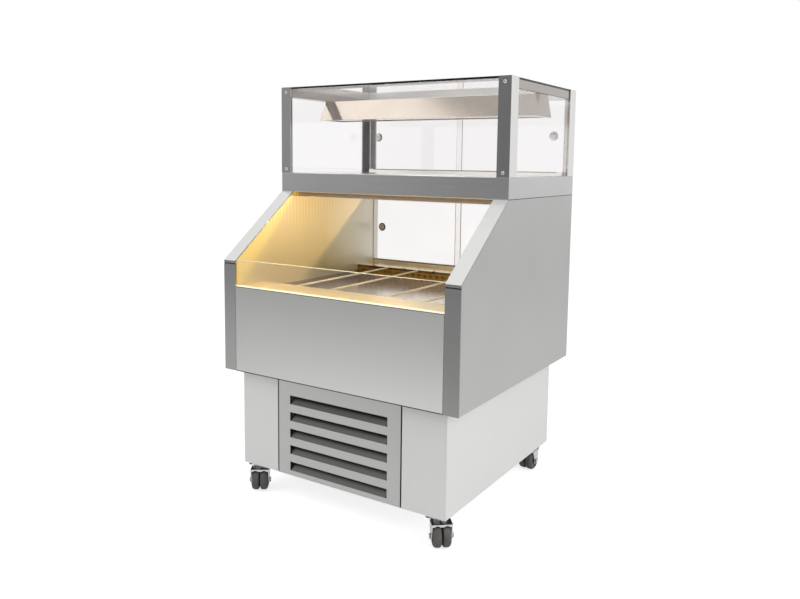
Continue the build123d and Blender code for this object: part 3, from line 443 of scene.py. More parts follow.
# %% Dress the nodes
FINISHES = {
    "side_panel": shell_upright, "front_panel": shell_level, "rear_panel": shell_level,
    "side_liners": liner_steel, "edge_trim": trim_steel, "deck_soffit": hidden_sheet,
    "deck_lamps": lamp_channel, "deck": deck_steel, "front_sill": sill_steel, "rear_ledge": ledge_steel,
    "well_tub": tub_steel, "hot_plate": plate_steel, "perforated_riser": riser_steel,
    "body_floor": hidden_sheet, "plinth": plinth_sheet, "louvre_panel": louvre_sheet,
    "base_pan": hidden_sheet, "corner_posts": post_steel, "side_rails": rail_steel,
    "front_glass": low_glass, "box": pane_glass, "lamp_cover": quartz, "lamp_trough": polished,
    "heat_lamps": quartz, "door_tracks": track_alloy, "castor_plates": zinc, "castor_fork": zinc,
    "castor_wheels": tread, "divider_rod": bright_bar, "lower_door": door_glass, "upper_door": door_glass,
    "lower_pull": pull_metal, "upper_pull": pull_metal, "cable_gland": grey_plastic,
    "control_housing": grey_plastic, "thermostat_knob": black_plastic, "rocker_switch": black_plastic,
    "heating_element": element_sheath, "blower_wheel": wheel_alloy, "blower_motor": motor_paint,
}
for name, part in frame["nodes"].items():
    finish = next(finish for start, finish in FINISHES.items() if name.startswith(start))
    part.data.materials.clear()
    part.data.materials.append(finish)
print("dressed", len(frame["nodes"]), "nodes")

# %% [markdown]
# ## Surfaces from formulas
# New pieces are grids of points. A grid is an array of shape rows by columns by three, and neighbouring
# points make quads. Where a row shrinks to one point, as at a pole, the doubles are merged, so the surface
# closes.

# %% Grids to meshes
MERGE_DISTANCE, SHARP_ANGLE = 1e-6, radians(35)


def grid_faces(rows, columns, wrap_rows):
    """Corner numbers of the quads between neighbours: columns join round, and rows do where wrapped."""
    row = np.arange(rows if wrap_rows else rows - 1)
    r, c = np.meshgrid(row, np.arange(columns), indexing="ij")
    r2, c2 = (r + 1) % rows, (c + 1) % columns
    corners = [r * columns + c, r * columns + c2, r2 * columns + c2, r2 * columns + c]
    return np.stack(corners, -1).reshape(-1, 4)


def piece(name, grids, body, finish, wrap_rows=False):
    """One mesh object from one or more grids, merged at its poles, faced outwards and riding on a body."""
    points, faces, count = [], [], 0
    for grid in grids:
        rows, columns = grid.shape[:2]
        points.append(grid.reshape(-1, 3))
        faces.append(grid_faces(rows, columns, wrap_rows) + count)
        count += rows * columns
    mesh = bpy.data.meshes.new(name)
    mesh.from_pydata(np.concatenate(points).tolist(), [], np.concatenate(faces).tolist())
    made = bmesh.new()
    made.from_mesh(mesh)
    bmesh.ops.remove_doubles(made, verts=made.verts, dist=MERGE_DISTANCE)
    bmesh.ops.recalc_face_normals(made, faces=made.faces)
    made.to_mesh(mesh)
    made.free()
    mesh.shade_smooth()
    mesh.set_sharp_from_angle(angle=SHARP_ANGLE)
    mesh.materials.append(finish)
    made_object = bpy.data.objects.new(name, mesh)
    scene.collection.objects.link(made_object)
    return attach(made_object, body)


print("a grid of 4 by 6 has", len(grid_faces(4, 6, False)), "quads")

# %% [markdown]
# Most small parts of the case are turned on a lathe or moulded round, so two helpers make nearly all of
# them: one rounds the corners of a profile, the other carries the profile about an axis. A bevel modifier
# could round the corners too, but it would have to find the right edges first.

# %% Profiles and turned surfaces
STEEP = 0.9


def unit(vector):
    """A vector with its length made 1."""
    return np.array(vector) / np.linalg.norm(vector)


def rounded(corners, steps=6):
    """Profile of straight legs with round corners. A corner is (radius, height, round): the arc touches both
    legs at round times the tangent of half the turn, and its points are spread evenly by angle."""
    rows = []
    corners = np.array(corners, float)
    for i, (r, h, size) in enumerate(corners):
        here = np.array([r, h])
        if size <= 0 or i in (0, len(corners) - 1):
            rows.append(here[None])
            continue
        back, on = unit(corners[i - 1, :2] - here), unit(corners[i + 1, :2] - here)
        turn = pi - np.arccos(np.clip(back @ on, -1, 1))
        reach = size * np.tan(turn / 2)
        middle = unit(back + on) * np.hypot(reach, size)
        t = np.linspace(0, 1, steps)[:, None]
        start, end = back * reach - middle, on * reach - middle
        arc = start * np.sin((1 - t) * turn) + end * np.sin(t * turn)
        rows.append(here + middle + arc / np.sin(turn))
    return np.concatenate(rows)


def turned(profile, centre, axis, around=48, flutes=0, depth=0.0):
    """Turned surface: centre + height along the axis + radius times (cos, sin) across it, a row per profile
    point. Flutes scale the radius by 1 + depth times the cosine of flutes times the angle."""
    axis = unit(axis)
    side = unit(np.cross(axis, [0, 0, 1.0] if abs(axis[2]) < STEEP else [1.0, 0, 0]))
    across = np.cross(axis, side)
    angle = np.linspace(0, 2 * pi, around, endpoint=False)
    ring = np.cos(angle)[:, None] * side + np.sin(angle)[:, None] * across
    ring *= 1 + depth * np.cos(flutes * angle)[:, None]
    profile = np.asarray(profile, float)
    return np.array(centre) + profile[:, 1, None, None] * axis + profile[:, 0, None, None] * ring


TO_REAR = (0, 1, 0)
print("a turned grid has the shape", turned([(1, 0), (1, 1)], (0, 0, 0), TO_REAR).shape)

# %% [markdown]
# ## Castor wheels
# Each castor has two hard rubber wheels side by side with round shoulders. They could be cylinders with a
# bevel, but the shoulders differ inside and outside, so the profiles of a tyre and of its rim are turned
# about the axle, and the last point of a profile joins the first, so that each ring is closed. The axle's
# direction comes from the joint that rolls the wheel, so the new wheels turn as the old ones do.

# %% Wheel profiles
WHEEL_RADIUS, TYRE_WIDTH, TYRE_GAP = 30 * MM, 22 * MM, 4 * MM
INNER_SHOULDER, OUTER_SHOULDER, TYRE_EDGE = 6 * MM, 9.5 * MM, 0.4 * MM
RIM_RADIUS, HUB_RADIUS, BORE_RADIUS = 19 * MM, 9 * MM, 4.1 * MM
RIM_DISH, RIM_DEEP, RIM_SLOPE, RIM_ROUND = 2.5 * MM, 4 * MM, 5 * MM, 2 * MM
HUB_SLOPE, HUB_FOOT, HUB_ROUND, HUB_BACK, HUB_OVERLAP = 1 * MM, 1 * MM, 0.6 * MM, 0.2 * MM, 0.1 * MM
near, far = TYRE_GAP / 2, TYRE_GAP / 2 + TYRE_WIDTH
tyre = [
    (HUB_RADIUS, near, 0),
    (WHEEL_RADIUS, near, INNER_SHOULDER),
    (WHEEL_RADIUS, far, OUTER_SHOULDER),
    (RIM_RADIUS, far, TYRE_EDGE),
    (RIM_RADIUS, far - RIM_DISH, 0),
]
tyre = rounded(tyre, 9)
rim = [
    (RIM_RADIUS, far - RIM_DISH, 0),
    (RIM_RADIUS - RIM_SLOPE, far - RIM_DEEP, RIM_ROUND),
    (HUB_RADIUS, far - RIM_DEEP, HUB_FOOT),
    (HUB_RADIUS - HUB_SLOPE, far - HUB_BACK, HUB_ROUND),
    (BORE_RADIUS, far - HUB_BACK, 0),
    (BORE_RADIUS, -HUB_OVERLAP, 0),
    (HUB_RADIUS, -HUB_OVERLAP, 0),
    (HUB_RADIUS, near, 0),
]
rim = rounded(rim, 5)
print("profile points", len(tyre), len(rim))

# %% Castor wheels
JOINTS = {joint["name"]: joint for joint in frame["joints"]}
CORNERS = ("front_left", "front_right", "rear_left", "rear_right")
for corner in CORNERS:
    roll = JOINTS[f"roll_{corner}"]
    axle, direction = np.array(roll["pos_m"]), np.array(roll["axis"])
    body = roll["child"]
    sides = (direction, -direction)
    grids = [turned(tyre, axle, way, 72) for way in sides]
    wheels = piece(f"tyres_{corner}", grids, body, tread, wrap_rows=True)
    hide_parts(f"castor_wheels_{corner}")
    grids = [turned(rim, axle, way, 48) for way in sides]
    hubs = piece(f"hubs_{corner}", grids, body, hub_plastic, wrap_rows=True)
print("castor wheels", len(CORNERS))

# %% [markdown]
# ## Finger pulls
# A round metal cup sits in a hole of each sliding door: a disc towards the customer and a hollow towards the
# operator. A flat disc would mirror one tone, so it is domed as a parabola, height growing with the square
# of the radius, and mirrors the room as a small shaded ball. The rim and the cup's floor get round corners.

# %% Finger pulls
HANDS = ("left", "right")
DOOR_GLASS, PULL_SLEEVE, PULL_RIM, PULL_PROUD = 5 * MM, 12 * MM, 3 * MM, 1.5 * MM
DOME_SHARE, DOME_RISE, SLEEVE_FRONT = 0.94, 1.1 * MM, -0.2 * MM
CUP_RADIUS, CUP_FLOOR, CUP_CORNER, CUP_LIP = PULL_SLEEVE - 1.2 * MM, -0.3 * MM, 2.5 * MM, 0.8 * MM
RIM_FOOT, RIM_CROWN = 0.3 * MM, 1.2 * MM
share = np.linspace(0, DOME_SHARE, 9)
dome = np.column_stack([share * PULL_SLEEVE, -PULL_PROUD + DOME_RISE * share**2])
cup = [
    (PULL_SLEEVE, SLEEVE_FRONT, 0),
    (PULL_SLEEVE, DOOR_GLASS, 0),
    (PULL_SLEEVE + PULL_RIM, DOOR_GLASS, RIM_FOOT),
    (PULL_SLEEVE + PULL_RIM, DOOR_GLASS + PULL_PROUD, RIM_CROWN),
    (CUP_RADIUS, DOOR_GLASS + PULL_PROUD, CUP_LIP),
    (CUP_RADIUS, CUP_FLOOR, CUP_CORNER),
    (0, CUP_FLOOR, 0),
]
cup = rounded(cup)
cup = np.concatenate([dome, cup])
for level in ("lower", "upper"):
    for hand in HANDS:
        low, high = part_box(f"{level}_pull_{hand}")
        centre = ((low.x + high.x) / 2, low.y + PULL_PROUD, (low.z + high.z) / 2)
        grids = [turned(cup, centre, TO_REAR, 64)]
        pull = piece(f"finger_{level}_{hand}", grids, f"{level}_door_{hand}", pull_metal)
        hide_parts(f"{level}_pull_{hand}")
print("faces of a finger pull", len(pull.data.polygons))

# %% [markdown]
# ## Divider rods
# The rods are plain round bar, cut and tumbled, so their ends are domed a little. The frame's rods have
# sharp ends, and a turned profile with two round corners is all that is needed.

# %% Divider rods
ROD_ROUND = 1.2 * MM


def bar_profile(radius, length, foot, top, steps=6):
    """Profile of a solid round bar: both ends are closed, and foot and top round their edges."""
    return rounded([(0, 0, 0), (radius, 0, foot), (radius, length, top), (0, length, 0)], steps)


for hand in HANDS:
    for number in (1, 2):
        name = f"divider_rod_{hand}_{number}"
        low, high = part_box(name)
        radius, length = (high.x - low.x) / 2, high.y - low.y
        bar = bar_profile(radius, length, ROD_ROUND, ROD_ROUND)
        centre = ((low.x + high.x) / 2, low.y, (low.z + high.z) / 2)
        rod = piece(f"bar_{hand}_{number}", [turned(bar, centre, TO_REAR, 32)], name, bright_bar)
        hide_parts(name)
print("divider rod radius and length", round(radius, 4), round(length, 4))

# %% [markdown]
# ## Screws
# Cap screws hold the corner posts at their ends, and flat button heads hold the rear sheets. A head is a
# turned profile with a blind socket in its middle, and every screw of a group is one more grid in the same
# mesh. A dark plug with six sides stands at the bottom of the posts' sockets.

# %% Post screws
SCREW_RADIUS, SCREW_HEIGHT = 5 * MM, 2.4 * MM
# Shares of the radius and the height: out over the base, up the rim, over the dome, down into the socket.
HEAD_SHARES = [
    (0, 0, 0), (1, 0, 0), (1, 0.45, 0.3), (0.72, 1, 0.6), (0.40, 1, 0.1), (0.40, 0.35, 0), (0, 0.30, 0)
]
PLUG_SHARES = [(0, 0.36), (0.40, 0.36), (0.40, 0.42), (0, 0.42)]
POST_FACE, FOOT_INSET, HEAD_INSET = 38 * MM, 12 * MM, 16 * MM
post_low, post_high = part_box("corner_posts")
head = rounded(np.array(HEAD_SHARES) * (SCREW_RADIUS, SCREW_HEIGHT, SCREW_HEIGHT), 4)
plug = np.array(PLUG_SHARES) * (SCREW_RADIUS, SCREW_HEIGHT)
spots = [
    (side * (post_high.x - POST_FACE / 2), y, z)
    for side in (-1, 1)
    for y in (post_low.y, post_high.y)
    for z in (post_low.z + FOOT_INSET, post_high.z - HEAD_INSET)
]
ways = [(0, -1 if spot[1] < 0 else 1, 0) for spot in spots]
grids = [turned(head, spot, way, 24) for spot, way in zip(spots, ways)]
piece("post_screws", grids, "cabinet", screw_steel)
grids = [turned(plug, spot, way, 6) for spot, way in zip(spots, ways)]
piece("post_sockets", grids, "cabinet", black_plastic)
print("post screws", len(spots))

# %% Sheet screws
REAR_SPREAD, VENT_SPREAD, SHEET_INSET = 330 * MM, 270 * MM, 20 * MM
rear_low, rear_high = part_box("rear_panel")
vent_low, vent_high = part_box("plinth_rear")
rear_zs = (rear_low.z + SHEET_INSET, rear_high.z - SHEET_INSET)
vent_zs = (vent_low.z + SHEET_INSET, vent_high.z - SHEET_INSET)
spots = [(x, rear_high.y, z) for x in (-REAR_SPREAD, 0.0, REAR_SPREAD) for z in rear_zs]
spots += [(x, vent_high.y, z) for x in (-VENT_SPREAD, VENT_SPREAD) for z in vent_zs]
grids = [turned(head, spot, TO_REAR, 24) for spot in spots]
piece("sheet_screws", grids, "cabinet", screw_steel)
print("sheet screws", len(spots))

# %% [markdown]
# A castor hangs on four bolts through the corners of its plate, and from below a nut and a bolt's end show
# at each. They could be cut with threads, but at this size the hexagon is what reads: a turned surface with
# six points round it. The nuts stay on the plate while the fork turns under them.

# %% Castor nuts
PLATE_SHEET, NUT_OFFSET, NUT_SINK = 3 * MM, 22 * MM, 0.2 * MM
NUT_RADIUS, NUT_HEIGHT, NUT_ROUND = 7.5 * MM, 6.5 * MM, 0.9 * MM
BOLT_RADIUS, BOLT_END, BOLT_ROUND = 4 * MM, 7.7 * MM, 0.6 * MM
DOWNWARD = (0, 0, -1)
plate_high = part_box("castor_plates")[1]
nut_z = plate_high.z - PLATE_SHEET + NUT_SINK
nut = bar_profile(NUT_RADIUS, NUT_HEIGHT, 0, NUT_ROUND, 4)
bolt = bar_profile(BOLT_RADIUS, BOLT_END, 0, BOLT_ROUND, 4)
grids = []
for corner in CORNERS:
    x, y = JOINTS[f"swivel_{corner}"]["pos_m"][:2]
    for across in (-NUT_OFFSET, NUT_OFFSET):
        for along in (-NUT_OFFSET, NUT_OFFSET):
            spot = (x + across, y + along, nut_z)
            grids.append(turned(nut, spot, DOWNWARD, 6))
            grids.append(turned(bolt, spot, DOWNWARD, 16))
piece("castor_nuts", grids, "cabinet", nut_steel)
print("castor nuts", len(grids) // 2)

# %% [markdown]
# ## Warm lamps
# Two diode strips light the well from under the deck, and two hot wires in quartz tubes warm the deck from
# the trough. The wire is a helix about the tube's axis, and a thin round section is carried along it. A
# curve with a bevel would do as well, but the helix is shorter to write as arrays.

# %% Hot wires
CAP_SIZE, CAP_LENGTH = 16 * MM, 32 * MM
WIRE_RADIUS, HELIX_RADIUS, HELIX_PITCH = 0.5 * MM, 1.8 * MM, 4 * MM
WIRE_SHARE, WIRE_STEPS, WIRE_SIDES = 0.94, 8, 5
lamp_low, lamp_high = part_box("heat_lamps")
lamp_z = (lamp_low.z + lamp_high.z) / 2
lamp_ys = (lamp_low.y + CAP_SIZE / 2, lamp_high.y - CAP_SIZE / 2)
inner = lamp_high.x - CAP_LENGTH


def helix(y):
    """Round wire wound along X: the centre line circles the tube's axis once per pitch, and a small ring is
    carried along it on the radial and the lengthwise direction. Both ends shrink to the centre line."""
    turns = 2 * inner * WIRE_SHARE / HELIX_PITCH
    t = np.linspace(0, 1, int(turns * WIRE_STEPS))[:, None]
    angle = 2 * pi * turns * t
    out = np.concatenate([0 * t, np.cos(angle), np.sin(angle)], 1)
    along = np.array([1.0, 0, 0])
    line = (2 * t - 1) * inner * WIRE_SHARE * along + (0, y, lamp_z) + HELIX_RADIUS * out
    ring = np.linspace(0, 2 * pi, WIRE_SIDES, endpoint=False)[None, :, None]
    skin = line[:, None] + WIRE_RADIUS * (np.cos(ring) * out[:, None] + np.sin(ring) * along)
    first, last = np.repeat(line[[0, -1], None], WIRE_SIDES, 1)
    return np.concatenate([first[None], skin, last[None]])


print("points of a hot wire", helix(lamp_ys[0]).shape[:2])

# %% Heat lamps
TUBE_RADIUS, CAP_RADIUS, CAP_ROUND = 5 * MM, 0.7 * CAP_SIZE, 1.5 * MM
tube = bar_profile(TUBE_RADIUS, 2 * inner, 0, 0)
grids = [turned(tube, (-inner, y, lamp_z), (1, 0, 0), 32) for y in lamp_ys]
lamp_tubes = piece("lamp_tubes", grids, "cabinet", quartz)
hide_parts("heat_lamps")
piece("lamp_wires", [helix(y) for y in lamp_ys], "cabinet", hot_wire)
block = bar_profile(CAP_RADIUS, CAP_LENGTH, CAP_ROUND, CAP_ROUND, 3)
grids = [turned(block, (way * lamp_high.x, y, lamp_z), (-way, 0, 0), 4) for y in lamp_ys for way in (-1, 1)]
piece("lamp_ends", grids, "cabinet", ceramic)
print("heat lamps", len(lamp_ys))

# %% [markdown]
# Under the deck each channel holds a row of diodes behind a half-round lens, tucked behind a lip that looks
# forward. The lip is what cuts the sharp slanting shadow line on the side walls. A lens is a profile carried
# straight along X, closed by a fan at both ends.

# %% Straight bars
ALONG_X, ALONG_Y, ALONG_Z = 0, 1, 2


def straight_bar(profile, start, end, axis):
    """Straight bar: a closed profile at both ends, with end rows shrunk to the profile's middle. The
    profile's two numbers belong to the other two axes in order."""
    profile = np.asarray(profile, float)
    middle = np.repeat(profile.mean(0)[None], len(profile), 0)
    rows = [(start, middle), (start, profile), (end, profile), (end, middle)]
    return np.array([np.insert(ring, axis, place, 1) for place, ring in rows])


print("a bar has the shape", straight_bar([(0, 0), (1, 0), (0, 1)], 0, 1, ALONG_X).shape)

# %% Diode lenses
CHANNEL_DEPTH, LENS_RADIUS, LENS_INSET = 32 * MM, 2.0 * MM, 4 * MM
FRONT_SET_BACK, REAR_SET_BACK = 9.5 * MM, 13.5 * MM
strip_low, strip_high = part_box("deck_lamps")
front_diode = strip_low.y + FRONT_SET_BACK
rear_diode = strip_high.y - CHANNEL_DEPTH + REAR_SET_BACK
lens_z = strip_high.z
bend = np.linspace(pi, 2 * pi, 13)
grids = []
for y in (front_diode, rear_diode):
    half_round = np.column_stack([y + LENS_RADIUS * np.cos(bend), lens_z + LENS_RADIUS * np.sin(bend)])
    grids.append(straight_bar(half_round, strip_low.x + LENS_INSET, strip_high.x - LENS_INSET, ALONG_X))
lenses = piece("diode_lenses", grids, "cabinet", diode_lens)
print("diode lenses", len(grids))

# %% [markdown]
# ## Seam shade and seals
# Dark strips in the gap between the slanted cap and the upright strip on both walls paint the shade in that
# gap, and the door tracks have a grey strip along their front edge. Where sheets meet, beside the louvre
# panel, under the deck and at the lip of the front panel, a dark bar paints the shade in the narrow seam. An
# open gap would show what lies behind it, so the painted shade and the strips are straight bars.

# %% Cap gap shade and plinth seam shade
CAP_NOSE, CAP_GAP, TRIM_THICKNESS, CAP_SHADE_SINK = 697 * MM, 4 * MM, 3 * MM, 0.8 * MM
SEAM_IN, SEAM_OUT, SEAM_PROUD, SEAM_DEPTH = 0.4 * MM, 1.4 * MM, 0.15 * MM, 2 * MM


def rectangle(a0, a1, b0, b1):
    """Corners of a rectangle as a closed profile."""
    return [(a0, b0), (a1, b0), (a1, b1), (a0, b1)]


def both_sides(grid):
    """A grid and its mirror image in x."""
    return [grid, grid * (-1, 1, 1)]


trim_low, trim_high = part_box("edge_trim_right")
louvre_low, louvre_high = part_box("louvre_panel")
# A dark bar in the gap under each slanted cap: painted shade.
seal = rectangle(trim_low.y + CAP_SHADE_SINK, trim_low.y + TRIM_THICKNESS, CAP_NOSE - CAP_GAP, CAP_NOSE)
x0, x1 = trim_low.x + CAP_SHADE_SINK, trim_high.x - CAP_SHADE_SINK
grids = both_sides(straight_bar(seal, x0, x1, ALONG_X))
piece("cap_seals", grids, "cabinet", black_plastic)
# Dark bars in the gaps beside the louvre panel: painted shade.
x0, x1 = louvre_high.x - SEAM_IN, louvre_high.x + SEAM_OUT
y0, y1 = louvre_low.y - SEAM_PROUD, louvre_low.y + SEAM_DEPTH
grids = both_sides(straight_bar(rectangle(x0, x1, y0, y1), louvre_low.z, louvre_high.z, ALONG_Z))
piece("plinth_seams", grids, "cabinet", black_plastic)
print("plinth seams", len(grids))

# %% Sheet seam shade and track seals
SEAM_HALF, TRACK_WALL, TRACK_SEAL, TRACK_FOOT = 0.7 * MM, 2 * MM, 3 * MM, 12 * MM
deck_low, deck_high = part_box("deck")
panel_low, panel_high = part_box("front_panel")
track_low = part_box("door_tracks")[0]
# Dark bars under the deck's sides and at the front panel's top lip: painted shade.
z0, z1 = deck_low.z - SEAM_HALF, deck_low.z + SEAM_HALF
seam = rectangle(deck_high.x - SEAM_DEPTH, deck_high.x + SEAM_PROUD, z0, z1)
grids = both_sides(straight_bar(seam, deck_low.y, deck_high.y, ALONG_Y))
y0, y1 = panel_low.y - SEAM_PROUD, panel_low.y + SEAM_OUT
lip = rectangle(y0, y1, panel_high.z - 2 * SEAM_HALF, panel_high.z)
grids.append(straight_bar(lip, panel_low.x, panel_high.x, ALONG_X))
piece("sheet_seams", grids, "cabinet", black_plastic)
grids = []
y0, y1 = track_low.y - SEAM_PROUD, track_low.y + TRACK_WALL
for foot in (track_low.z, deck_high.z):
    top = foot + TRACK_FOOT
    strip = rectangle(y0, y1, top - TRACK_SEAL, top + SEAM_PROUD)
    grids.append(straight_bar(strip, panel_low.x, panel_high.x, ALONG_X))
piece("track_seals", grids, "cabinet", grey_plastic)
print("track seals", len(grids))

# %% [markdown]
# ## Ground glass edges
# The cut edges of the panes are ground, so they scatter the warm light and shine as pale lines. A glass
# shader that is rough only at the edge would need a mask, so a thin matt bar covers the top edge of the low
# front glass and both upright edges of the lower doors. A pale seal runs along the foot of the low glass.

# %% Ground glass edges
EDGE_PROUD, FOOT_DEPTH, FOOT_HEIGHT = 0.3 * MM, 2 * MM, 4 * MM
glass_low, glass_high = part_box("front_glass")
z0, z1 = glass_high.z - EDGE_PROUD, glass_high.z + EDGE_PROUD
edge = straight_bar(rectangle(glass_low.y, glass_high.y, z0, z1), glass_low.x, glass_high.x, ALONG_X)
piece("front_glass_edge", [edge], "cabinet", ground_edge)
for hand in HANDS:
    door = f"lower_door_{hand}"
    low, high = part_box(door)
    sides = [rectangle(x - EDGE_PROUD, x + EDGE_PROUD, low.y, high.y) for x in (low.x, high.x)]
    grids = [straight_bar(side, low.z, high.z, ALONG_Z) for side in sides]
    piece(f"edges_{door}", grids, door, ground_edge)
y0, z1 = glass_low.y - FOOT_DEPTH, glass_low.z + FOOT_HEIGHT
foot = straight_bar(rectangle(y0, glass_low.y, glass_low.z, z1), -glass_high.x, glass_high.x, ALONG_X)
piece("front_glass_foot", [foot], "cabinet", pale_seal)
print("edges on a door", len(grids))

# %% [markdown]
# ## Controls at the rear
# The operator has a thermostat knob and a rocker. The knob gets a fluted skirt and a grip with a white
# pointer. The flutes could be cut one by one, but a cosine in the radius of a turned surface makes all of
# them at once.

# %% Knob
KNOB_RADIUS, KNOB_FOOT, KNOB_TOP, KNOB_TAPER = 20 * MM, 0.5 * MM, 8 * MM, 0.96
KNOB_HEM, KNOB_SHOULDER, FLUTES, FLUTE_DEPTH = 0.4 * MM, 2 * MM, 30, 0.02
GRIP_HEIGHT, GRIP_REACH, PAINT = 13 * MM, 15 * MM, 0.2 * MM
LINE_HALF, LINE_START, LINE_END = 0.8 * MM, 0.3 * GRIP_REACH, 0.95 * GRIP_REACH
# Section of the grip in millimetres: across the knob and out of the panel.
GRIP_SECTION = [(-4.5, 7), (4.5, 7), (3.9, 12.2), (3.1, 13), (-3.1, 13), (-3.9, 12.2)]
knob_at = np.array(JOINTS["thermostat_turn"]["pos_m"])
skirt = [
    (0, KNOB_FOOT, 0),
    (KNOB_RADIUS, KNOB_FOOT, KNOB_HEM),
    (KNOB_TAPER * KNOB_RADIUS, KNOB_TOP, KNOB_SHOULDER),
    (0, KNOB_TOP, 0),
]
skirt = rounded(skirt)
grids = [turned(skirt, knob_at, TO_REAR, 180, FLUTES, FLUTE_DEPTH)]
knob_skirt = piece("knob_skirt", grids, "thermostat_knob", black_plastic)
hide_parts("thermostat_knob")
grids = [straight_bar(np.array(GRIP_SECTION) * MM, -GRIP_REACH, GRIP_REACH, ALONG_Z) + knob_at]
piece("knob_grip", grids, "thermostat_knob", black_plastic)
line = rectangle(-LINE_HALF, LINE_HALF, GRIP_HEIGHT - PAINT, GRIP_HEIGHT + PAINT)
grids = [straight_bar(line, LINE_START, LINE_END, ALONG_Z) + knob_at]
piece("knob_pointer", grids, "thermostat_knob", mark_paint)
print("faces of the knob's skirt", len(knob_skirt.data.polygons))

# %% [markdown]
# The dial's ticks grow with the heat. They are painted on the panel, so they don't turn with the knob. An
# image of a dial would blur when seen close, so the ticks are thin bars that are swung about the knob's
# axis, one for every thirty degrees of its range.

# %% Dial ticks
TICKS, TICK_STEP, TICK_HALF = 10, radians(30), 0.5 * MM
TICK_START, TICK_SHORT, TICK_GROWTH = 23 * MM, 1.5 * MM, 0.45 * MM


def swung(grid, angle):
    """Turn a grid about the Y axis: x and z go round by the angle, clockwise for the operator."""
    x, y, z = np.moveaxis(grid, -1, 0)
    return np.stack([x * cos(angle) - z * sin(angle), y, z * cos(angle) + x * sin(angle)], -1)


tick = rectangle(-TICK_HALF, TICK_HALF, -PAINT, PAINT)
grids = []
for i in range(TICKS):
    bar = straight_bar(tick, TICK_START, TICK_START + TICK_SHORT + i * TICK_GROWTH, ALONG_Z)
    grids.append(swung(bar, i * TICK_STEP) + knob_at)
piece("dial_ticks", grids, "cabinet", black_plastic)
print("dial ticks", len(grids))

# %% [markdown]
# The rocker gets the usual I and O. The lower half of its face leans, so the I is a straight bar and the O
# is a ring that is turned about the lower half's own direction.

# %% Rocker marks
ON_HALF, ON_BACK, ON_FACE, ON_FOOT, ON_TOP = 0.6 * MM, 1.0 * MM, 1.6 * MM, 3.2 * MM, 10.2 * MM
OFF_PLACE, OFF_WAY = np.array([0, 3.13, -6.12]) * MM, (0, 0.9675, 0.2516)
OFF_INNER, OFF_OUTER = 2.2 * MM, 3.3 * MM
rocker_at = np.array(JOINTS["rocker_tip"]["pos_m"])
stroke = rectangle(-ON_HALF, ON_HALF, ON_BACK, ON_FACE)
on_mark = straight_bar(stroke, ON_FOOT, ON_TOP, ALONG_Z) + rocker_at
piece("rocker_on", [on_mark], "rocker_switch", mark_paint)
hoop = [(OFF_INNER, -PAINT), (OFF_INNER, PAINT), (OFF_OUTER, PAINT), (OFF_OUTER, -PAINT)]
off_mark = turned(hoop, rocker_at + OFF_PLACE, OFF_WAY, 32)
piece("rocker_off", [off_mark], "rocker_switch", mark_paint, wrap_rows=True)
print("rocker at", rocker_at.round(3))

# %% [markdown]
# ## Cable gland
# The gland is a screwed sleeve with a hexagon and a clamping cap. The hexagon is turned with six points, as
# the nuts are, and a cosine in the radius cuts the finger flutes of the cap.

# %% Cable gland
GLAND_REACH, CAP_FLUTES, CAP_FLUTE_DEPTH = 18 * MM, 12, 0.04
# Profiles in millimetres: radius, height and, where there is a third number, the round of the corner.
SLEEVE = [(5, -14), (10, -14), (10, 0)]
HEXAGON = [(10, 0, 0), (14, 0, 0.5), (14, 6, 0.8), (7, 6, 0)]
CLAMP = [(7.6, 6, 0), (7.6, 14, 1.5), (6.4, 18, 1.2), (5, 18, 0.4), (5, -14, 0)]
low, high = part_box("cable_gland")
gland_at = ((low.x + high.x) / 2, high.y - GLAND_REACH, (low.z + high.z) / 2)
grids = [
    turned(np.array(SLEEVE) * MM, gland_at, TO_REAR, 32),
    turned(rounded(np.array(HEXAGON) * MM, 3), gland_at, TO_REAR, 6),
    turned(rounded(np.array(CLAMP) * MM, 4), gland_at, TO_REAR, 96, CAP_FLUTES, CAP_FLUTE_DEPTH),
]
gland = piece("gland_nut", grids, "cabinet", grey_plastic, wrap_rows=True)
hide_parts("cable_gland")
print("faces of the gland", len(gland.data.polygons))

# %% [markdown]
# ## Light
# The studio is a white room: soft light from above and the sides, a white floor and a darker wall behind the
# camera, which is what makes upright steel look grey while slanted steel looks white. The walls could be
# meshes, but the world does the same with less: the camera and rays through glass see white, mirrors see the
# room and matt surfaces get an even light.

# %% Room
FRONT_WAY, FRONT_SHADE, FRONT_START, FRONT_END = (0.10, -0.995, 0.0), 0.86, 0.45, 1.0
WALL_LEVEL, FILL_LEVEL, CEILING_START, CEILING_END = 0.85, 0.55, 0.15, 0.95
# Places of the number sockets of a Mix node.
NUMBER_A, NUMBER_B, NUMBER_OUT = 2, 3, 0


def mixed(tree, amount, first, second):
    """Mix two numbers by a 0 to 1 value. Each of the two is a plain number or an output socket."""
    inputs = {"Factor": amount, NUMBER_A: first, NUMBER_B: second}
    return node(tree, "Mix", inputs, data_type="FLOAT").outputs[NUMBER_OUT]


world = bpy.data.worlds.new("studio")
scene.world = world
world.use_nodes = True
room = world.node_tree
rays = node(room, "LightPath").outputs
way = node(room, "TexCoord").outputs["Generated"]
front = node(room, "VectorMath", {0: way, 1: FRONT_WAY}, operation="DOT_PRODUCT").outputs["Value"]
walls = spread(room, front, WALL_LEVEL, WALL_LEVEL * (1 - FRONT_SHADE), FRONT_START, FRONT_END)
height = node(room, "SeparateXYZ", {0: way}).outputs["Z"]
ceiling = spread(room, height, 0, 1, CEILING_START, CEILING_END)
lit = mixed(room, rays["Is Glossy Ray"], FILL_LEVEL, mixed(room, ceiling, walls, 1.0))
seen = computed(room, "MAXIMUM", rays["Is Camera Ray"], rays["Is Transmission Ray"])
feed(room.nodes["Background"], {"Color": (1, 1, 1, 1), "Strength": mixed(room, seen, lit, 1.0)})
print("nodes of the room", len(room.nodes))

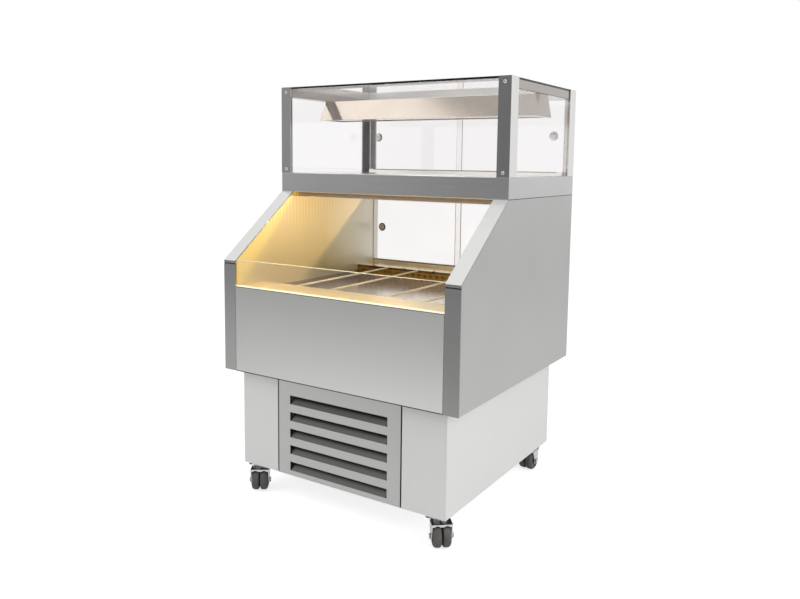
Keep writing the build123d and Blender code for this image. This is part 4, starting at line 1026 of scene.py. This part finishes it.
# %% [markdown]
# ## Floor
# The floor is white paper. Its own glow brings it to white for the camera, and the light on it still carries
# the soft shadow of the case. Mirrors see it darken towards the front right, as if a grey card lay there,
# and through glass it glows more in front of the case than behind it. More light on the floor would also
# make it white, but it would wash out the case.

# %% Floor paper
PAPER_GREY, PAPER_ROUGHNESS = (0.62, 0.62, 0.62, 1), 0.9
FIBRE_SCALE, FIBRE_DETAIL, FIBRE_RELIEF = (300.0, 300.0, 300.0), 2.0, 0.02
FLOOR_GLOW, MIRROR_GLOW = 0.72, 0.34
GLASS_GLOW_FRONT, GLASS_GLOW_REAR, GLOW_CHANGE = 0.56, 0.34, 0.5
CARD_SLOPE, CARD_DARK, CARD_LIGHT = (-0.24, 0.45, 0.0), -0.72, -0.38
paper, tree, shader = finish_named("floor_paper")
fibres = {"Strength": FIBRE_RELIEF, "Height": stretched_noise(tree, FIBRE_SCALE, FIBRE_DETAIL)}
card = node(tree, "VectorMath", {0: object_place(tree), 1: CARD_SLOPE}, operation="DOT_PRODUCT")
mirror_card = spread(tree, card.outputs["Value"], 0.0, MIRROR_GLOW, CARD_DARK, CARD_LIGHT)
depth = place_parts(tree)["Y"]
glass_card = spread(tree, depth, GLASS_GLOW_FRONT, GLASS_GLOW_REAR, -GLOW_CHANGE, GLOW_CHANGE)
rays = node(tree, "LightPath").outputs
glow = computed(tree, "MULTIPLY", rays["Is Camera Ray"], FLOOR_GLOW)
glow = computed(tree, "MULTIPLY_ADD", rays["Is Glossy Ray"], mirror_card, glow)
glow = computed(tree, "MULTIPLY_ADD", rays["Is Transmission Ray"], glass_card, glow)
inputs = {
    "Base Color": PAPER_GREY,
    "Roughness": PAPER_ROUGHNESS,
    "Specular IOR Level": 0.0,
    "Emission Color": (1, 1, 1, 1),
    "Emission Strength": glow,
    "Normal": node(tree, "Bump", fibres).outputs["Normal"],
}
feed(shader, inputs)
print("nodes of the paper", len(tree.nodes))

# %% Floor
FLOOR_HALF = 14.0
corners = np.array([(-1, -1, 0), (1, -1, 0), (1, 1, 0), (-1, 1, 0)]) * FLOOR_HALF
floor_mesh = bpy.data.meshes.new("floor")
floor_mesh.from_pydata(corners.tolist(), [], [(0, 1, 2, 3)])
floor_mesh.materials.append(paper)
floor = bpy.data.objects.new("floor", floor_mesh)
scene.collection.objects.link(floor)
print("floor width", 2 * FLOOR_HALF)

# %% [markdown]
# ## Lamps
# Two large soft boxes give the case its form. They are left out of mirrors, where their outlines would show
# as hard patches.

# %% Soft boxes
def soft_box(name, place, target, size, power, colour=(1, 1, 1)):
    """Rectangular lamp at a place, turned towards a target."""
    lamp = bpy.data.lights.new(name, "AREA")
    lamp.shape = "RECTANGLE"
    lamp.size, lamp.size_y = size
    lamp.energy = power
    lamp.color = colour
    holder = bpy.data.objects.new(name, lamp)
    aim = (Vector(target) - Vector(place)).to_track_quat("-Z", "Y")
    holder.matrix_world = Matrix.Translation(place) @ aim.to_matrix().to_4x4()
    scene.collection.objects.link(holder)
    return holder


soft_box("key", (-2.4, -2.6, 3.2), (0, 0, 0.6), (2.6, 2.6), 40).visible_glossy = False
soft_box("side", (3.4, -0.4, 2.0), (0, 0, 0.5), (2.4, 2.4), 52).visible_glossy = False
print("soft boxes", len(bpy.data.lights))

# %% [markdown]
# For each row of diodes, a small square lamp near either end looks across to the other wall, which draws the
# slanting light there with few lamps. Light linking keeps that light off the channels, the deck, the hot
# plate and the lenses, which would burn out so close to it. A warm strip under the trough stands for the
# hot wires.

# %% Warm lamps
POINT, REACH, DIP, DIODE_GAP = 2.0 * MM, 0.33, 0.25, 0.3 * MM
TROUGH_SIZE, TROUGH_POWER, TROUGH_GAP = (0.72, 0.07), 1.2, 4 * MM
YELLOW = (1.0, 0.74, 0.02)
ROWS = (("front_row", front_diode, 6.0, YELLOW), ("rear_row", rear_diode, 3.4, WARM))
shaded = bpy.data.collections.new("unlit_by_diodes")
for part in [frame["nodes"][name] for name in ("deck_lamps", "deck", "hot_plate")] + [lenses]:
    shaded.objects.link(part)
for member in shaded.collection_objects:
    member.light_linking.link_state = "EXCLUDE"
diode_z = lens_z - LENS_RADIUS - DIODE_GAP
for name, y, power, colour in ROWS:
    for side in (-1, 1):
        place = Vector((side * REACH, y, diode_z))
        lamp = soft_box(name, place, place - Vector((side, 0, DIP)), (POINT, POINT), power, colour)
        lamp.light_linking.receiver_collection = shaded
        lamp.visible_camera = lamp.visible_transmission = False
        lamp.visible_glossy = name == "rear_row"
trough_y = (lamp_low.y + lamp_high.y) / 2
trough_at = (0, trough_y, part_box("lamp_cover")[0].z - TROUGH_GAP)
trough_glow = soft_box("trough_glow", trough_at, (0, trough_y, 0), TROUGH_SIZE, TROUGH_POWER, WARM)
trough_glow.visible_camera = trough_glow.visible_glossy = trough_glow.visible_transmission = False
print("lamps", len(bpy.data.lights))
